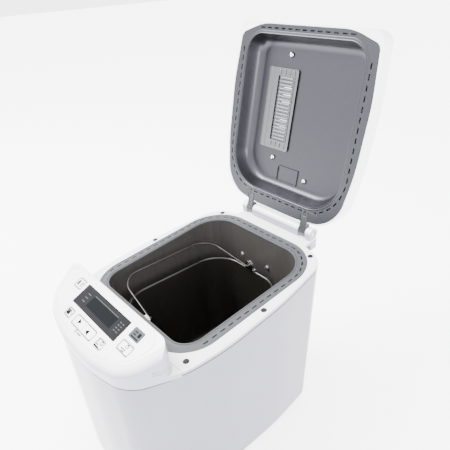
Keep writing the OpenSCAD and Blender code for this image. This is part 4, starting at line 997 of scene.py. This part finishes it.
# ---- bail handle ----
# A bail of bright spring-steel wire, bent round at two corners, hangs in the pan's ears. It lies
# folded to the left with its top a little raised.
pivot = Vector(joints["bail_swing"]["pos_m"]) * 1000
bail_reach = 81
bail_rise = math.radians(10.9)
arm_y = 82
lean = math.tan(math.radians(6))
bend = 26
kappa = 0.56                    # a handle of this share of the bend makes a round corner
far_y = arm_y - bail_reach * lean
bail = bpy.data.curves.new("bail", "CURVE")
bail.dimensions = "3D"
bail.bevel_depth = 1.15
bail.bevel_resolution = 6
bail.resolution_u = 16
bail.use_fill_caps = True
route = [(0, arm_y), (-bail_reach + bend, far_y + bend * lean), (-bail_reach, far_y - bend),
         (-bail_reach, -far_y + bend), (-bail_reach + bend, -far_y - bend * lean), (0, -arm_y)]
pull = [(0, 0), (-bend * kappa, -bend * kappa * lean), (0, -bend * kappa), (0, -bend * kappa),
        (bend * kappa, -bend * kappa * lean), (0, 0)]
spline = bail.splines.new("BEZIER")
spline.bezier_points.add(len(route) - 1)
for point, (x, y), (dx, dy) in zip(spline.bezier_points, route, pull):
    point.handle_left_type = point.handle_right_type = "FREE"
    point.co = (x, y, 0)
    point.handle_right = (x + dx, y + dy, 0)
    point.handle_left = (x - dx, y - dy, 0)
wire = bpy.data.objects.new("bail", bail)
scene.collection.objects.link(wire)
bpy.context.view_layer.update()
wire_shape = bmesh.new()
wire_mesh = bpy.data.meshes.new_from_object(wire.evaluated_get(bpy.context.evaluated_depsgraph_get()))
wire_shape.from_mesh(wire_mesh)
bpy.data.objects.remove(wire)
bmesh.ops.remove_doubles(wire_shape, verts=wire_shape.verts, dist=0.01)
pins = bmesh.new()
for side in (-1, 1):
    rod(pins, (0, side * (arm_y - 2), 0), (0, side * (arm_y + 2), 0), 1.9, 24, 0.5)
wire_shape = carved(wire_shape, pins, "UNION")
pins = bmesh.new()
for side in (-1, 1):
    rod(pins, (0, side * arm_y, 0), (0, side * (arm_y + 8), 0), 1.4, 24, 0.3)
wire_shape = carved(wire_shape, pins, "UNION")
on_bail = mm @ Matrix.Translation(pivot) @ Matrix.Rotation(bail_rise, 4, "Y")
# Drawn spring steel, its colour darkened as a painted reflection of the dark chamber round the wire
bail_steel_painted_reflection = drawn_metal("drawn_spring_steel", "#2C2B29", "#4A4744", 0.24, 0.4, 0.8, (1, 0.1, 1))
piece("bail_wire", wire_shape, on_bail, bail_steel_painted_reflection, "bail", "pan_handle")

# ---- drive ----
# A sintered bronze bearing carries the drive shaft. A nylon pulley, a toothed rubber belt and a
# small motor pulley bring the motor's turns down six to one.
dress(drawn_metal("sintered_bronze", "#8C6A3A", "#B08C52", 0.4, 0.6, 1, (1, 1, 1)), "drive_bearing",
      "pan_bush")
dress(moulded("natural_nylon", "#D4CBB6", "#DDD5C2", 0.4, 3, 0.02), "drive_pulley", "motor_pulley")
dress(moulded("black_glass_filled_nylon", "#111112", "#1A1A1B", 0.45, 1, 0.03), "pan_coupling",
      "drive_coupling", "power_gland", "tact_switches")
dress(foot_rubber, "drive_belt", "inner_wiring")

# ---- electrics ----
# Two glass-epoxy boards with green solder mask, and a transformer, coil and capacitor that stand
# for the power supply.
solder_mask = moulded("green_solder_mask", "#1F4A2A", "#2C6A3B", 0.3, 2, 0.05)
dress(solder_mask, "power_board", "control_board")
dress(moulded("varnished_copper_winding", "#5C3719", "#7A4B25", 0.3, 0.8, 0.1), "transformer")
dress(moulded("silvered_polyester_label", "#B9BABC", "#C6C7C9", 0.4, 2, 0.01), "rear_label")
